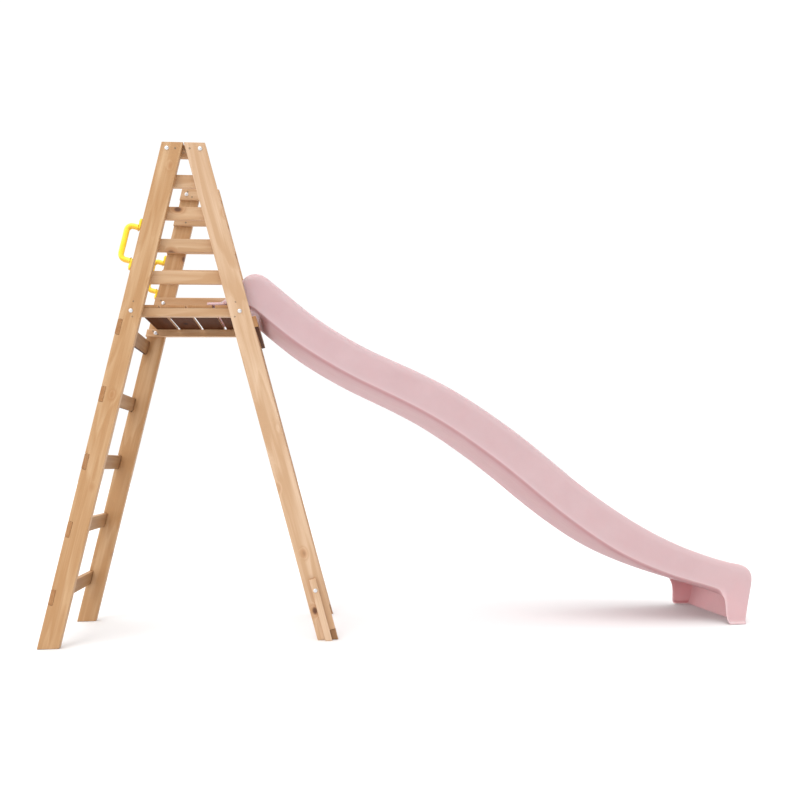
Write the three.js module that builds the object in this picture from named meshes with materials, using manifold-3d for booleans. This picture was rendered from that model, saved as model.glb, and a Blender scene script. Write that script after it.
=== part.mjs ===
// A free-standing garden play slide: a timber A-frame tower with a ladder on one side, a slatted
// deck, and a one-piece moulded wave slide on the other side. All of it is bolted or screwed, so
// nothing moves. Millimetres, +Z up. +X runs from the ladder to the slide's exit, Y runs across,
// and the origin is on the ground under the middle of the whole object.

import * as THREE from 'three';
import { mergeVertices } from 'three/addons/utils/BufferGeometryUtils.js';
import Module from 'manifold-3d';

const wasm = await Module();
wasm.setup();

// ---------------------------------------------------------------- driving dimensions

const GAP = 0.3; // clearance between touching pieces

const TOWER_HEIGHT = 2210;
const TOWER_WIDTH = 580; // across Y, over the legs' outer faces
const LEAN = THREE.MathUtils.degToRad(14.2); // of each leg from the vertical
const LEG_WIDTH = 90;
const LEG_THICKNESS = 30;
const APEX_GAP = 2; // between the two leg tops

const RAIL_HEIGHT = 57;
const RAIL_THICKNESS = 18;
const RAIL_COUNT = 4;
const RAIL_PITCH = 142.5;
const TOP_RAIL_BOTTOM = 2021;

const DECK_HEIGHT = 1500;
const SLAT_THICKNESS = 14;
const SLAT_WIDTH = 106;
const SLAT_PITCH = 118;
const SLAT_COUNT = 4;
const BEARER_HEIGHT = 37;
const BEARER_THICKNESS = 28;

const RUNG_WIDTH = 68; // along the ladder's slope
const RUNG_THICKNESS = 20;
const RUNG_COUNT = 5;
const LOWEST_RUNG = 226;
const RUNG_PITCH = 293.4;

const FRONT_BOARD_WIDTH = 50;
const FRONT_BOARD_THICKNESS = 18;
const FRONT_BOARD_CENTRE = 1419;

const ANCHOR_STEP = 50; // height of the notch in the slide-side legs' feet
const ANCHOR_BLOCK_WIDTH = 33;
const ANCHOR_RECESS = 4;
const STRIP_TOP = 280;
const STRIP_INSET = 27; // of the strip's outer edge from the leg's outer edge
const STRIP_WIDTH = 30;
const STRIP_THICKNESS = 18;
const STRIP_BOLT = 225;

const BOLT_RADIUS = 4;
const BOLT_HEAD_RADIUS = 9.3;
const BOLT_HEAD_HEIGHT = 5;
const BOLT_HOLE_RADIUS = 4.4;
const NUT_RADIUS = 7.5;
const NUT_HEIGHT = 6.5;
const BOLT_SEGMENTS = 10;
const APEX_BOLT_X = 72;
const APEX_BOLT_Z = 2182;
const BEARER_BOLT_Z = 1467;
const RAIL_BOLT_Z = 1622;

const COACH_SCREW_LENGTH = 40;
const COACH_HOLE_LENGTH = 43;

const HANDLE_CENTRE = 1759;
const HANDLE_REACH = 58; // from the leg to the grip's centreline
const HANDLE_HALF_SPAN = 76;
const HANDLE_CORNER = 24;
const HANDLE_TUBE_RADIUS = 12.5;
const LUG_LENGTH = 54;
const LUG_WIDTH = 25;
const LUG_THICKNESS = 12;
const LUG_SCREW = 103; // distance of each lug's screw from the handle's centre
const SCREW_RADIUS = 2.4;
const SCREW_HEAD_RADIUS = 5;
const SCREW_HEAD_HEIGHT = 3;
const SCREW_LENGTH = 34;

const SLIDE_HALF_WIDTH = 240;
const SLIDE_WALL = 5;
const SLIDE_RIM_RADIUS = 21;
const SLIDE_BED_FILLET = 35;
const SLIDE_CREASE = 16; // height of the crease where the underside turns up into the skirt
const FOOT_CREASE = 2;
const SLIDE_STATIONS = 18; // along the wavy middle
const SLIDE_SCREW_X = 205;
const SLIDE_SCREW_Y = 120;
const FOOT_FLANGE = 12;
const FLANGE_ROOT = 4; // how far the flange is sunk in the skirt
const FLANGE_LENGTH = 94;
const FLANGE_THICKNESS = 8;
const FLANGE_CENTRE = 2546;
const END_WALL = 7;

// ---------------------------------------------------------------- finishes

const timber = new THREE.MeshStandardMaterial({ color: 0xc99a6b, roughness: 0.62, metalness: 0 });
const plasticPink = new THREE.MeshStandardMaterial({ color: 0xdcb4b8, roughness: 0.45, metalness: 0 });
const plasticYellow = new THREE.MeshStandardMaterial({ color: 0xffe11a, roughness: 0.4, metalness: 0 });
const galvanised = new THREE.MeshStandardMaterial({ color: 0xc8cbcf, roughness: 0.35, metalness: 1 });

// ---------------------------------------------------------------- the A-frame's geometry

const LEG_CUT = LEG_WIDTH / Math.cos(LEAN); // a leg's width measured level
const HALF_TOP = APEX_GAP / 2 + LEG_CUT;
const HALF_WIDTH = TOWER_WIDTH / 2;
const INNER_FACE = HALF_WIDTH - LEG_THICKNESS;

// Distance from the tower's centre to a leg's outer edge at a height.
function legOuter(z) {
  return HALF_TOP + (TOWER_HEIGHT - z) * Math.tan(LEAN);
}

// A point at a height on a line set in from a leg's outer edge. side is -1 at the ladder.
function onLeg(side, z, inset) {
  return [side * (legOuter(z) - inset / Math.cos(LEAN)), z];
}

// Steps along the ladder-side legs: up the slope, and square to it into the wood.
const alongLadder = [Math.sin(LEAN), Math.cos(LEAN)];
const intoLadder = [Math.cos(LEAN), -Math.sin(LEAN)];

function step([x, z], along, inward) {
  return [
    x + alongLadder[0] * along + intoLadder[0] * inward,
    z + alongLadder[1] * along + intoLadder[1] * inward,
  ];
}

// ---------------------------------------------------------------- making pieces

const model = new THREE.Group();
const tower = new THREE.Group(); // its own origin is on the ground under the apex
model.add(tower);

function addPiece(name, geometry, material) {
  const mesh = new THREE.Mesh(geometry, material);
  mesh.name = name;
  tower.add(mesh);
  return mesh;
}

function circle(x, y, radius) {
  return Array.from({ length: BOLT_SEGMENTS }, (_, i) => {
    const angle = (2 * Math.PI * i) / BOLT_SEGMENTS;
    return new THREE.Vector2(x + radius * Math.cos(angle), y + radius * Math.sin(angle));
  });
}

// A plate drawn in the X-Z plane, from yLow towards +Y, with round holes through it.
function addPlate(name, outline, holes, yLow, thickness) {
  const shape = new THREE.Shape(outline.map(([x, z]) => new THREE.Vector2(x, z)));
  shape.holes = holes.map(([x, z]) => new THREE.Path(circle(x, z, BOLT_HOLE_RADIUS)));
  const geometry = new THREE.ExtrudeGeometry(shape, { depth: thickness, bevelEnabled: false });
  const mesh = addPiece(name, geometry, timber);
  mesh.rotation.x = Math.PI / 2;
  mesh.position.y = yLow + thickness;
  return mesh;
}

function toSolid(geometry) {
  const bare = geometry.clone();
  bare.deleteAttribute('normal');
  bare.deleteAttribute('uv');
  const merged = mergeVertices(bare, 1e-4);
  const vertProperties = new Float32Array(merged.attributes.position.array);
  const triVerts = new Uint32Array(merged.index.array);
  return new wasm.Manifold(new wasm.Mesh({ numProp: 3, vertProperties, triVerts }));
}

function toGeometry(solid) {
  const { vertProperties, triVerts } = solid.getMesh();
  const geometry = new THREE.BufferGeometry();
  geometry.setAttribute('position', new THREE.BufferAttribute(vertProperties, 3));
  geometry.setIndex(new THREE.BufferAttribute(triVerts, 1));
  geometry.computeVertexNormals();
  return geometry;
}

// Cuts tool, placed by matrix in the tower's frame, out of a mesh that the tower holds.
function cutFromMesh(mesh, tool, matrix) {
  mesh.updateMatrix();
  const local = tool.clone().applyMatrix4(mesh.matrix.clone().invert().multiply(matrix));
  mesh.geometry = toGeometry(toSolid(mesh.geometry).subtract(toSolid(local)));
}

// ---------------------------------------------------------------- legs

const rungEdges = Array.from({ length: RUNG_COUNT }, (_, i) => onLeg(-1, LOWEST_RUNG + i * RUNG_PITCH, 0));

const boltHeights = { apex: APEX_BOLT_Z, rail: RAIL_BOLT_Z, bearer: BEARER_BOLT_Z, strip: STRIP_BOLT };
const stripCentre = STRIP_INSET + STRIP_WIDTH / 2;

function boltPoint(side, place) {
  const z = boltHeights[place];
  if (place === 'apex') return [side * APEX_BOLT_X, z];
  if (place === 'strip') return onLeg(side, z, stripCentre);
  return onLeg(side, z, LEG_WIDTH / 2);
}

function ladderLegOutline() {
  const outline = [onLeg(-1, 0, LEG_WIDTH), onLeg(-1, TOWER_HEIGHT, LEG_WIDTH), onLeg(-1, TOWER_HEIGHT, 0)];
  const half = RUNG_WIDTH / 2 + GAP;
  const depth = RUNG_THICKNESS + GAP;
  for (const centre of rungEdges.toReversed()) {
    outline.push(step(centre, half, 0), step(centre, half, depth));
    outline.push(step(centre, -half, depth), step(centre, -half, 0));
  }
  outline.push(onLeg(-1, 0, 0));
  return outline;
}

// The notch for the anchor block: its outer corner, its inner corner and its foot.
function anchorNotch(clearance) {
  const outer = onLeg(1, ANCHOR_STEP - clearance, 0);
  const width = ANCHOR_BLOCK_WIDTH - clearance;
  const inner = [outer[0] - Math.cos(LEAN) * width, outer[1] - Math.sin(LEAN) * width];
  const foot = [inner[0] + inner[1] * Math.tan(LEAN), 0];
  return { outer, inner, foot };
}

function slideLegOutline() {
  const notch = anchorNotch(0);
  const top = [onLeg(1, TOWER_HEIGHT, LEG_WIDTH), onLeg(1, TOWER_HEIGHT, 0)];
  return [onLeg(1, 0, LEG_WIDTH), ...top, notch.outer, notch.inner, notch.foot];
}

const frames = [
  { name: 'near', facing: -1 },
  { name: 'far', facing: 1 },
];

// The low Y of a plate that lies between two distances from the middle, on one side of it.
function lowY(facing, inner, outer) {
  return facing > 0 ? inner : -outer;
}

const ladderLegs = {};
for (const { name, facing } of frames) {
  const y = lowY(facing, INNER_FACE, HALF_WIDTH);
  const ladderHoles = ['apex', 'bearer'].map((place) => boltPoint(-1, place));
  const slideHoles = ['apex', 'bearer', 'strip'].map((place) => boltPoint(1, place));
  ladderLegs[name] = addPlate(`${name}_ladder_leg`, ladderLegOutline(), ladderHoles, y, LEG_THICKNESS);
  addPlate(`${name}_slide_leg`, slideLegOutline(), slideHoles, y, LEG_THICKNESS);
}

// ---------------------------------------------------------------- cleats, rails and bearers

// A level board across one A-frame, its ends cut to the legs' slope.
function crossOutline(bottom, height) {
  const top = bottom + height;
  return [onLeg(-1, bottom, 0), onLeg(1, bottom, 0), onLeg(1, top, 0), onLeg(-1, top, 0)];
}

const bearerBottom = DECK_HEIGHT - SLAT_THICKNESS - BEARER_HEIGHT;

for (const { name, facing } of frames) {
  const boardFace = INNER_FACE - GAP;
  const boardY = lowY(facing, boardFace - RAIL_THICKNESS, boardFace);
  const apexHoles = [boltPoint(-1, 'apex'), boltPoint(1, 'apex')];
  const cleat = crossOutline(TOWER_HEIGHT - RAIL_HEIGHT, RAIL_HEIGHT);
  addPlate(`${name}_apex_cleat`, cleat, apexHoles, boardY, RAIL_THICKNESS);
  for (let i = 0; i < RAIL_COUNT; i += 1) {
    const outline = crossOutline(TOP_RAIL_BOTTOM - i * RAIL_PITCH, RAIL_HEIGHT);
    const holes = i === RAIL_COUNT - 1 ? [boltPoint(-1, 'rail')] : [];
    addPlate(`${name}_rail_${i + 1}`, outline, holes, boardY, RAIL_THICKNESS);
  }
  const bearer = crossOutline(bearerBottom, BEARER_HEIGHT);
  const bearerY = lowY(facing, boardFace - BEARER_THICKNESS, boardFace);
  const bearerHoles = [boltPoint(-1, 'bearer'), boltPoint(1, 'bearer')];
  addPlate(`${name}_deck_bearer`, bearer, bearerHoles, bearerY, BEARER_THICKNESS);
}

// ---------------------------------------------------------------- deck slats

const slatLength = 2 * (INNER_FACE - GAP);
const slatHeight = SLAT_THICKNESS - GAP; // clear of the bearers it lies on
let slideSlat;
for (let i = 0; i < SLAT_COUNT; i += 1) {
  const slat = new THREE.BoxGeometry(SLAT_WIDTH, slatLength, slatHeight);
  const mesh = addPiece(`deck_slat_${i + 1}`, slat, timber);
  mesh.position.x = (i - (SLAT_COUNT - 1) / 2) * SLAT_PITCH;
  mesh.position.z = DECK_HEIGHT - slatHeight / 2;
  slideSlat = mesh;
}

// ---------------------------------------------------------------- ladder rungs

rungEdges.forEach((centre, i) => {
  const rung = new THREE.BoxGeometry(RUNG_THICKNESS, TOWER_WIDTH, RUNG_WIDTH);
  const mesh = addPiece(`ladder_rung_${i + 1}`, rung, timber);
  const [x, z] = step(centre, 0, RUNG_THICKNESS / 2);
  mesh.position.set(x, 0, z);
  mesh.rotation.y = LEAN;
});

// ---------------------------------------------------------------- front board, under the slide's top

const frontBoard = addPiece(
  'front_cross_board',
  new THREE.BoxGeometry(FRONT_BOARD_THICKNESS, TOWER_WIDTH, FRONT_BOARD_WIDTH),
  timber,
);
const frontOffset = FRONT_BOARD_THICKNESS / 2 + GAP;
frontBoard.position.x = legOuter(FRONT_BOARD_CENTRE) + frontOffset * Math.cos(LEAN);
frontBoard.position.z = FRONT_BOARD_CENTRE + frontOffset * Math.sin(LEAN);
frontBoard.rotation.y = -LEAN;

// ---------------------------------------------------------------- ground anchors on the slide-side legs

for (const { name, facing } of frames) {
  const notch = anchorNotch(GAP);
  const block = [notch.foot, onLeg(1, 0, 0), notch.outer, notch.inner];
  const blockDepth = LEG_THICKNESS - ANCHOR_RECESS;
  const blockY = lowY(facing, INNER_FACE, INNER_FACE + blockDepth);
  addPlate(`${name}_anchor_block`, block, [], blockY, blockDepth);

  const top = onLeg(1, STRIP_TOP, STRIP_INSET);
  const topInner = [top[0] - Math.cos(LEAN) * STRIP_WIDTH, top[1] - Math.sin(LEAN) * STRIP_WIDTH];
  const strip = [onLeg(1, 0, STRIP_INSET + STRIP_WIDTH), onLeg(1, 0, STRIP_INSET), top, topInner];
  const stripY = lowY(facing, HALF_WIDTH + GAP, HALF_WIDTH + GAP + STRIP_THICKNESS);
  addPlate(`${name}_anchor_strip`, strip, [boltPoint(1, 'strip')], stripY, STRIP_THICKNESS);
}

// ---------------------------------------------------------------- bolts with their nuts, and coach screws

// A domed head along Y with its seat at y = 0, on a shank that reaches down to end.
function shankGeometry(end) {
  const profile = [
    [0, end],
    [BOLT_RADIUS, end],
    [BOLT_RADIUS, 0],
    [BOLT_HEAD_RADIUS, 0],
    [BOLT_HEAD_RADIUS * 0.82, BOLT_HEAD_HEIGHT * 0.55],
    [BOLT_HEAD_RADIUS * 0.45, BOLT_HEAD_HEIGHT * 0.9],
    [0, BOLT_HEAD_HEIGHT],
  ].map(([radius, y]) => new THREE.Vector2(radius, y));
  return new THREE.LatheGeometry(profile, BOLT_SEGMENTS);
}

// A bolt with its nut made up tight past the grip.
function boltGeometry(grip) {
  const nutFace = -grip - 2 * GAP;
  const shank = toSolid(shankGeometry(nutFace - NUT_HEIGHT - 3));
  const nut = new THREE.CylinderGeometry(NUT_RADIUS, NUT_RADIUS, NUT_HEIGHT, 6);
  nut.translate(0, nutFace - NUT_HEIGHT / 2, 0);
  return toGeometry(shank.add(toSolid(nut)));
}

function addBolt(name, [x, z], facing, headSeat, grip) {
  const mesh = addPiece(name, boltGeometry(grip), galvanised);
  mesh.position.set(x, facing * (headSeat + GAP), z);
  mesh.rotation.z = facing > 0 ? 0 : Math.PI;
}

const boardGrip = LEG_THICKNESS + GAP + RAIL_THICKNESS;
const bearerGrip = LEG_THICKNESS + GAP + BEARER_THICKNESS;
const stripGrip = STRIP_THICKNESS + GAP + LEG_THICKNESS;
for (const { name, facing } of frames) {
  addBolt(`${name}_apex_bolt_ladder`, boltPoint(-1, 'apex'), facing, HALF_WIDTH, boardGrip);
  addBolt(`${name}_apex_bolt_slide`, boltPoint(1, 'apex'), facing, HALF_WIDTH, boardGrip);
  addBolt(`${name}_deck_bolt_ladder`, boltPoint(-1, 'bearer'), facing, HALF_WIDTH, bearerGrip);
  addBolt(`${name}_deck_bolt_slide`, boltPoint(1, 'bearer'), facing, HALF_WIDTH, bearerGrip);
  const stripFace = HALF_WIDTH + GAP + STRIP_THICKNESS;
  addBolt(`${name}_anchor_bolt`, boltPoint(1, 'strip'), facing, stripFace, stripGrip);

  // The lowest rail's coach screw is driven from the inside and ends in the leg.
  const coachScrew = addPiece(`${name}_rail_coach_screw`, shankGeometry(-COACH_SCREW_LENGTH), galvanised);
  const [railX, railZ] = boltPoint(-1, 'rail');
  coachScrew.position.set(railX, facing * (INNER_FACE - RAIL_THICKNESS - 2 * GAP), railZ);
  coachScrew.rotation.z = facing > 0 ? Math.PI : 0;
  coachScrew.updateMatrix();
  const coachHole = new THREE.CylinderGeometry(
    BOLT_HOLE_RADIUS,
    BOLT_HOLE_RADIUS,
    2 * COACH_HOLE_LENGTH,
    BOLT_SEGMENTS,
  );
  cutFromMesh(ladderLegs[name], coachHole, coachScrew.matrix);
}

// ---------------------------------------------------------------- grab handles on the ladder

// A wood screw along +X: its tip is at +X, and its head's seat is at x = 0.
function screwGeometry() {
  const profile = [
    [0, -SCREW_LENGTH],
    [SCREW_RADIUS, -SCREW_LENGTH + 5],
    [SCREW_RADIUS, 0],
    [SCREW_HEAD_RADIUS, 0],
    [SCREW_HEAD_RADIUS * 0.7, SCREW_HEAD_HEIGHT],
    [0, SCREW_HEAD_HEIGHT],
  ].map(([radius, y]) => new THREE.Vector2(radius, y));
  const geometry = new THREE.LatheGeometry(profile, BOLT_SEGMENTS);
  return geometry.rotateZ(Math.PI / 2);
}

// The handle's centreline: out from the top lug, round a corner, down the grip and back in.
function handlePath() {
  const at = (out, up) => new THREE.Vector3(-out, 0, up);
  const straightEnd = HANDLE_REACH - HANDLE_CORNER;
  const gripEnd = HANDLE_HALF_SPAN - HANDLE_CORNER;
  const root = LUG_THICKNESS / 2;
  const path = new THREE.CurvePath();
  const corner = (up) => at(HANDLE_REACH, up);
  const top = HANDLE_HALF_SPAN;
  path.add(new THREE.LineCurve3(at(root, top), at(straightEnd, top)));
  path.add(new THREE.QuadraticBezierCurve3(at(straightEnd, top), corner(top), corner(gripEnd)));
  path.add(new THREE.LineCurve3(corner(gripEnd), corner(-gripEnd)));
  path.add(new THREE.QuadraticBezierCurve3(corner(-gripEnd), corner(-top), at(straightEnd, -top)));
  path.add(new THREE.LineCurve3(at(straightEnd, -top), at(root, -top)));
  return path;
}

function handleGeometry() {
  const section = new THREE.Shape(circle(0, 0, HANDLE_TUBE_RADIUS));
  const tube = new THREE.ExtrudeGeometry(section, { steps: 20, extrudePath: handlePath() });
  const half = LUG_WIDTH / 2;
  const lugShape = new THREE.Shape();
  lugShape.absarc(0, LUG_LENGTH / 2 - half, half, 0, Math.PI, false);
  lugShape.absarc(0, half - LUG_LENGTH / 2, half, Math.PI, Math.PI * 2, false);
  const lugCut = { depth: LUG_THICKNESS, bevelEnabled: false, curveSegments: 6 };
  const lugCentre = HANDLE_HALF_SPAN - HANDLE_TUBE_RADIUS + LUG_LENGTH / 2;
  let handle = toSolid(tube);
  for (const end of [1, -1]) {
    const lug = new THREE.ExtrudeGeometry(lugShape, lugCut);
    lug.rotateX(Math.PI / 2);
    lug.rotateZ(Math.PI / 2);
    lug.translate(-LUG_THICKNESS - GAP, 0, end * lugCentre);
    handle = handle.add(toSolid(lug));
  }
  return toGeometry(handle);
}

for (const { name, facing } of frames) {
  const [x, z] = onLeg(-1, HANDLE_CENTRE, 0);
  const y = facing * (HALF_WIDTH - LEG_THICKNESS / 2);
  const handle = addPiece(`${name}_grab_handle`, handleGeometry(), plasticYellow);
  handle.position.set(x, y, z);
  handle.rotation.y = LEAN;
  const hole = new THREE.CylinderGeometry(SCREW_RADIUS + GAP, SCREW_RADIUS + GAP, 2 * SCREW_LENGTH, 8);
  hole.rotateZ(Math.PI / 2);
  for (const [place, side] of [['top', 1], ['bottom', -1]]) {
    const screw = addPiece(`${name}_handle_screw_${place}`, screwGeometry(), galvanised);
    const [screwX, screwZ] = step([x, z], side * LUG_SCREW, -LUG_THICKNESS - 2 * GAP);
    screw.position.set(screwX, y, screwZ);
    screw.rotation.y = LEAN;
    screw.updateMatrix();
    cutFromMesh(handle, hole, screw.matrix);
    cutFromMesh(ladderLegs[name], hole, screw.matrix);
  }
}

// ---------------------------------------------------------------- the slide

// Each station is a slanting section of the slide: the ends of its height at the underside and at
// the rim, and how far up that height the sliding bed is. These are the entry, which lies on the
// deck, rises into side walls and rolls over the deck's edge.
const deckTop = DECK_HEIGHT + GAP;
const entryStations = [
  { base: [86, deckTop], rim: [86, deckTop + 12], bed: 7 },
  { base: [150, deckTop], rim: [150, deckTop + 12], bed: 7 },
  { base: [162, deckTop], rim: [161, deckTop + 20], bed: 7 },
  { base: [185, deckTop], rim: [184, deckTop + 45], bed: 7 },
  { base: [214, deckTop], rim: [214, deckTop + 78], bed: 7 },
  { base: [240, deckTop], rim: [241, 1611], bed: 7 },
  { base: [256, 1496], rim: [262, 1633], bed: 10 },
  { base: [268, 1490], rim: [284, 1644], bed: 12 },
  { base: [280, 1485], rim: [306, 1647], bed: 11 },
  { base: [292, 1478], rim: [334, 1641], bed: 9 },
  { base: [306, 1468], rim: [364, 1619], bed: 7 },
];

// The underside's line along the waves, with the height of the walls there.
const wavePoints = [
  [335, 1441],
  [500, 1310],
  [720, 1177],
  [960, 1060],
  [1160, 949],
  [1420, 764],
  [1700, 531],
  [1960, 349],
  [2200, 238],
  [2400, 174],
];
const waveHeights = [154, 153, 153, 160, 165, 168, 169, 170, 155, 143];
const BED_HEIGHT = 6; // of the bed over the underside along the waves

// The exit: the side walls run down to the ground as two feet, and the bed rolls over the end.
const exitStations = [
  { base: [2440, 161], rim: [2478, 300], bed: 6 },
  { base: [2468, 149], rim: [2503, 293], bed: 11 },
  { base: [2484, 134], rim: [2515, 290], bed: 24 },
  { base: [2492, 115], rim: [2521, 288], bed: 42 },
  { base: [2496, 85], rim: [2525, 287], bed: 72 },
  { base: [2498, 50], rim: [2528, 286], bed: 106 },
  { base: [2500, 0], rim: [2531, 285], bed: 156 },
  { base: [2530, 0], rim: [2562, 279], bed: 154 },
  { base: [2550, 0], rim: [2584, 274], bed: 150 },
  { base: [2564, 0], rim: [2602, 267], bed: 142 },
  { base: [2575, 0], rim: [2616, 257], bed: 129 },
  { base: [2582, 0], rim: [2626, 241], bed: 110 },
  { base: [2585, 0], rim: [2630, 219], bed: 88 },
];
const SLIDE_END = 2630;
const FIRST_OPEN = 1; // the exit station where the closed underside stops

function waveStations() {
  const curve = new THREE.SplineCurve(wavePoints.map(([x, z]) => new THREE.Vector2(x, z)));
  const stations = [];
  for (let i = 0; i < SLIDE_STATIONS; i += 1) {
    const t = i / (SLIDE_STATIONS - 1);
    const point = curve.getPoint(t);
    const tangent = curve.getTangent(t);
    const place = t * (waveHeights.length - 1);
    const before = Math.min(Math.floor(place), waveHeights.length - 2);
    const height = THREE.MathUtils.lerp(waveHeights[before], waveHeights[before + 1], place - before);
    const rim = [point.x - tangent.y * height, point.y + tangent.x * height];
    stations.push({ base: [point.x, point.y], rim, bed: BED_HEIGHT });
  }
  return stations;
}

// A side wall from the skirt's foot, over the rim and down to the bed's flat, as (across, up).
// inset 0 gives the outer skin, and the wall's thickness gives the hollow inside it.
function wallSection(height, bed, inset) {
  const radius = Math.min(SLIDE_RIM_RADIUS, 0.36 * height);
  const rimLow = height - radius;
  const fillet = Math.min(SLIDE_BED_FILLET, 0.6 * (rimLow - bed));
  const flare = 0.08 * (rimLow - bed - fillet);
  const rimCentre = SLIDE_HALF_WIDTH - radius;
  const filletCentre = rimCentre - radius - flare - fillet;
  const points = [];
  for (let i = 0; i <= 4; i += 1) {
    const angle = (Math.PI * i) / 4;
    const reach = radius - inset;
    points.push([rimCentre + Math.cos(angle) * reach, rimLow + Math.sin(angle) * reach]);
  }
  for (let i = 0; i <= 3; i += 1) {
    const angle = (-Math.PI / 2) * (i / 3);
    const reach = fillet + inset;
    points.push([filletCentre + Math.cos(angle) * reach, bed + fillet + Math.sin(angle) * reach]);
  }
  return points;
}

function mirrored(half) {
  return half.map(([y, n]) => [-y, n]).reverse();
}

function skinSection(height, { bed, crease }) {
  const rise = Math.min(crease, 0.4 * height);
  const corner = [
    [SLIDE_HALF_WIDTH - 2 * rise, 0],
    [SLIDE_HALF_WIDTH - 0.25 * rise, 0.6 * rise],
    [SLIDE_HALF_WIDTH, rise],
  ];
  const half = [...corner, ...wallSection(height, bed, 0)];
  return [...half, ...mirrored(half)];
}

// Both walls and the bed hollowed from below, open underneath.
function openSection(height, { bed }) {
  const half = [[SLIDE_HALF_WIDTH - SLIDE_WALL, -20], ...wallSection(height, bed, SLIDE_WALL)];
  return [...half, ...mirrored(half)];
}

// One side wall's hollow over a closed underside.
function tunnelSection(height, { bed }) {
  const inner = SLIDE_HALF_WIDTH - SLIDE_WALL;
  const floor = [[inner - 35, SLIDE_WALL], [inner - 3, SLIDE_CREASE - 1], [inner, SLIDE_CREASE + 3]];
  return [...floor, ...wallSection(height, bed, SLIDE_WALL).slice(0, -1)];
}

// A station's section, as flat in its own plane and as points in the tower's frame.
function ring(station, section) {
  const base = new THREE.Vector2(...station.base);
  const up = new THREE.Vector2(...station.rim).sub(base);
  const height = up.length();
  up.normalize();
  const flat = section(height, station).map(([y, n]) => new THREE.Vector2(y, n));
  const points = flat.map((p) => new THREE.Vector3(base.x + up.x * p.y, p.x, base.y + up.y * p.y));
  return { flat, points };
}

// A closed solid through the sections of a row of stations, all with the same number of points.
function loft(stations, section) {
  const rings = stations.map((station) => ring(station, section));
  const count = rings[0].points.length;
  const positions = rings.flatMap(({ points }) => points.flatMap((p) => [p.x, p.y, p.z]));
  const index = [];
  for (let i = 0; i < rings.length - 1; i += 1) {
    for (let j = 0; j < count; j += 1) {
      const a = i * count + j;
      const b = i * count + ((j + 1) % count);
      index.push(a, b, b + count, a, b + count, a + count);
    }
  }
  const last = (rings.length - 1) * count;
  for (const [a, b, c] of THREE.ShapeUtils.triangulateShape(rings[0].flat, [])) index.push(a, c, b);
  for (const [a, b, c] of THREE.ShapeUtils.triangulateShape(rings.at(-1).flat, [])) {
    index.push(last + a, last + b, last + c);
  }
  const geometry = new THREE.BufferGeometry();
  geometry.setAttribute('position', new THREE.Float32BufferAttribute(positions, 3));
  geometry.setIndex(index);
  return toSolid(geometry);
}

// The hollow behind the end wall stops a wall's thickness short of it and under the bed.
function behindEndWall({ base, rim, bed }, i, all) {
  const nearEnd = i > all.length - 5;
  const shift = nearEnd ? END_WALL : 0;
  const drop = nearEnd ? 12 : 0;
  return { base: [base[0] - shift, base[1]], rim: [rim[0] - shift, rim[1] - drop], bed: bed - drop };
}

const waves = waveStations();
const allStations = [...entryStations, ...waves, ...exitStations].map((station) => {
  const crease = station.base[1] < exitStations[FIRST_OPEN].base[1] ? FOOT_CREASE : SLIDE_CREASE;
  return { ...station, crease };
});
const overhang = allStations.slice(6, allStations.length - exitStations.length + FIRST_OPEN + 2);
const openEnd = exitStations.slice(FIRST_OPEN, -1).map(behindEndWall);

let slideSolid = loft(allStations, skinSection)
  .subtract(loft(overhang, tunnelSection))
  .subtract(loft(overhang, (height, station) => mirrored(tunnelSection(height, station))))
  .subtract(loft(openEnd, openSection));
for (const facing of [-1, 1]) {
  const flange = new THREE.BoxGeometry(FLANGE_LENGTH, FOOT_FLANGE + FLANGE_ROOT, FLANGE_THICKNESS);
  const flangeY = SLIDE_HALF_WIDTH + (FOOT_FLANGE - FLANGE_ROOT) / 2;
  flange.translate(FLANGE_CENTRE, facing * flangeY, FLANGE_THICKNESS / 2);
  slideSolid = slideSolid.add(toSolid(flange));
}
const slide = addPiece('wave_slide', toGeometry(slideSolid), plasticPink);

for (const [name, side] of [['near', -1], ['far', 1]]) {
  const screw = addPiece(`${name}_slide_screw`, screwGeometry(), galvanised);
  screw.rotation.y = Math.PI / 2;
  screw.position.set(SLIDE_SCREW_X, side * SLIDE_SCREW_Y, deckTop + entryStations[0].bed + GAP);
  screw.updateMatrix();
  const hole = new THREE.CylinderGeometry(SCREW_RADIUS + GAP, SCREW_RADIUS + GAP, 2 * SCREW_LENGTH, 8);
  hole.rotateZ(Math.PI / 2);
  cutFromMesh(slide, hole, screw.matrix);
  cutFromMesh(slideSlat, hole, screw.matrix);
}

// ---------------------------------------------------------------- the origin, under the middle

tower.position.x = (legOuter(0) - SLIDE_END) / 2;

export default model;
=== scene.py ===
"""The looks of a garden wave slide on a timber A-frame tower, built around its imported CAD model."""

import math

import bmesh
import bpy
from mathutils import Euler, Matrix, Vector


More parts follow.
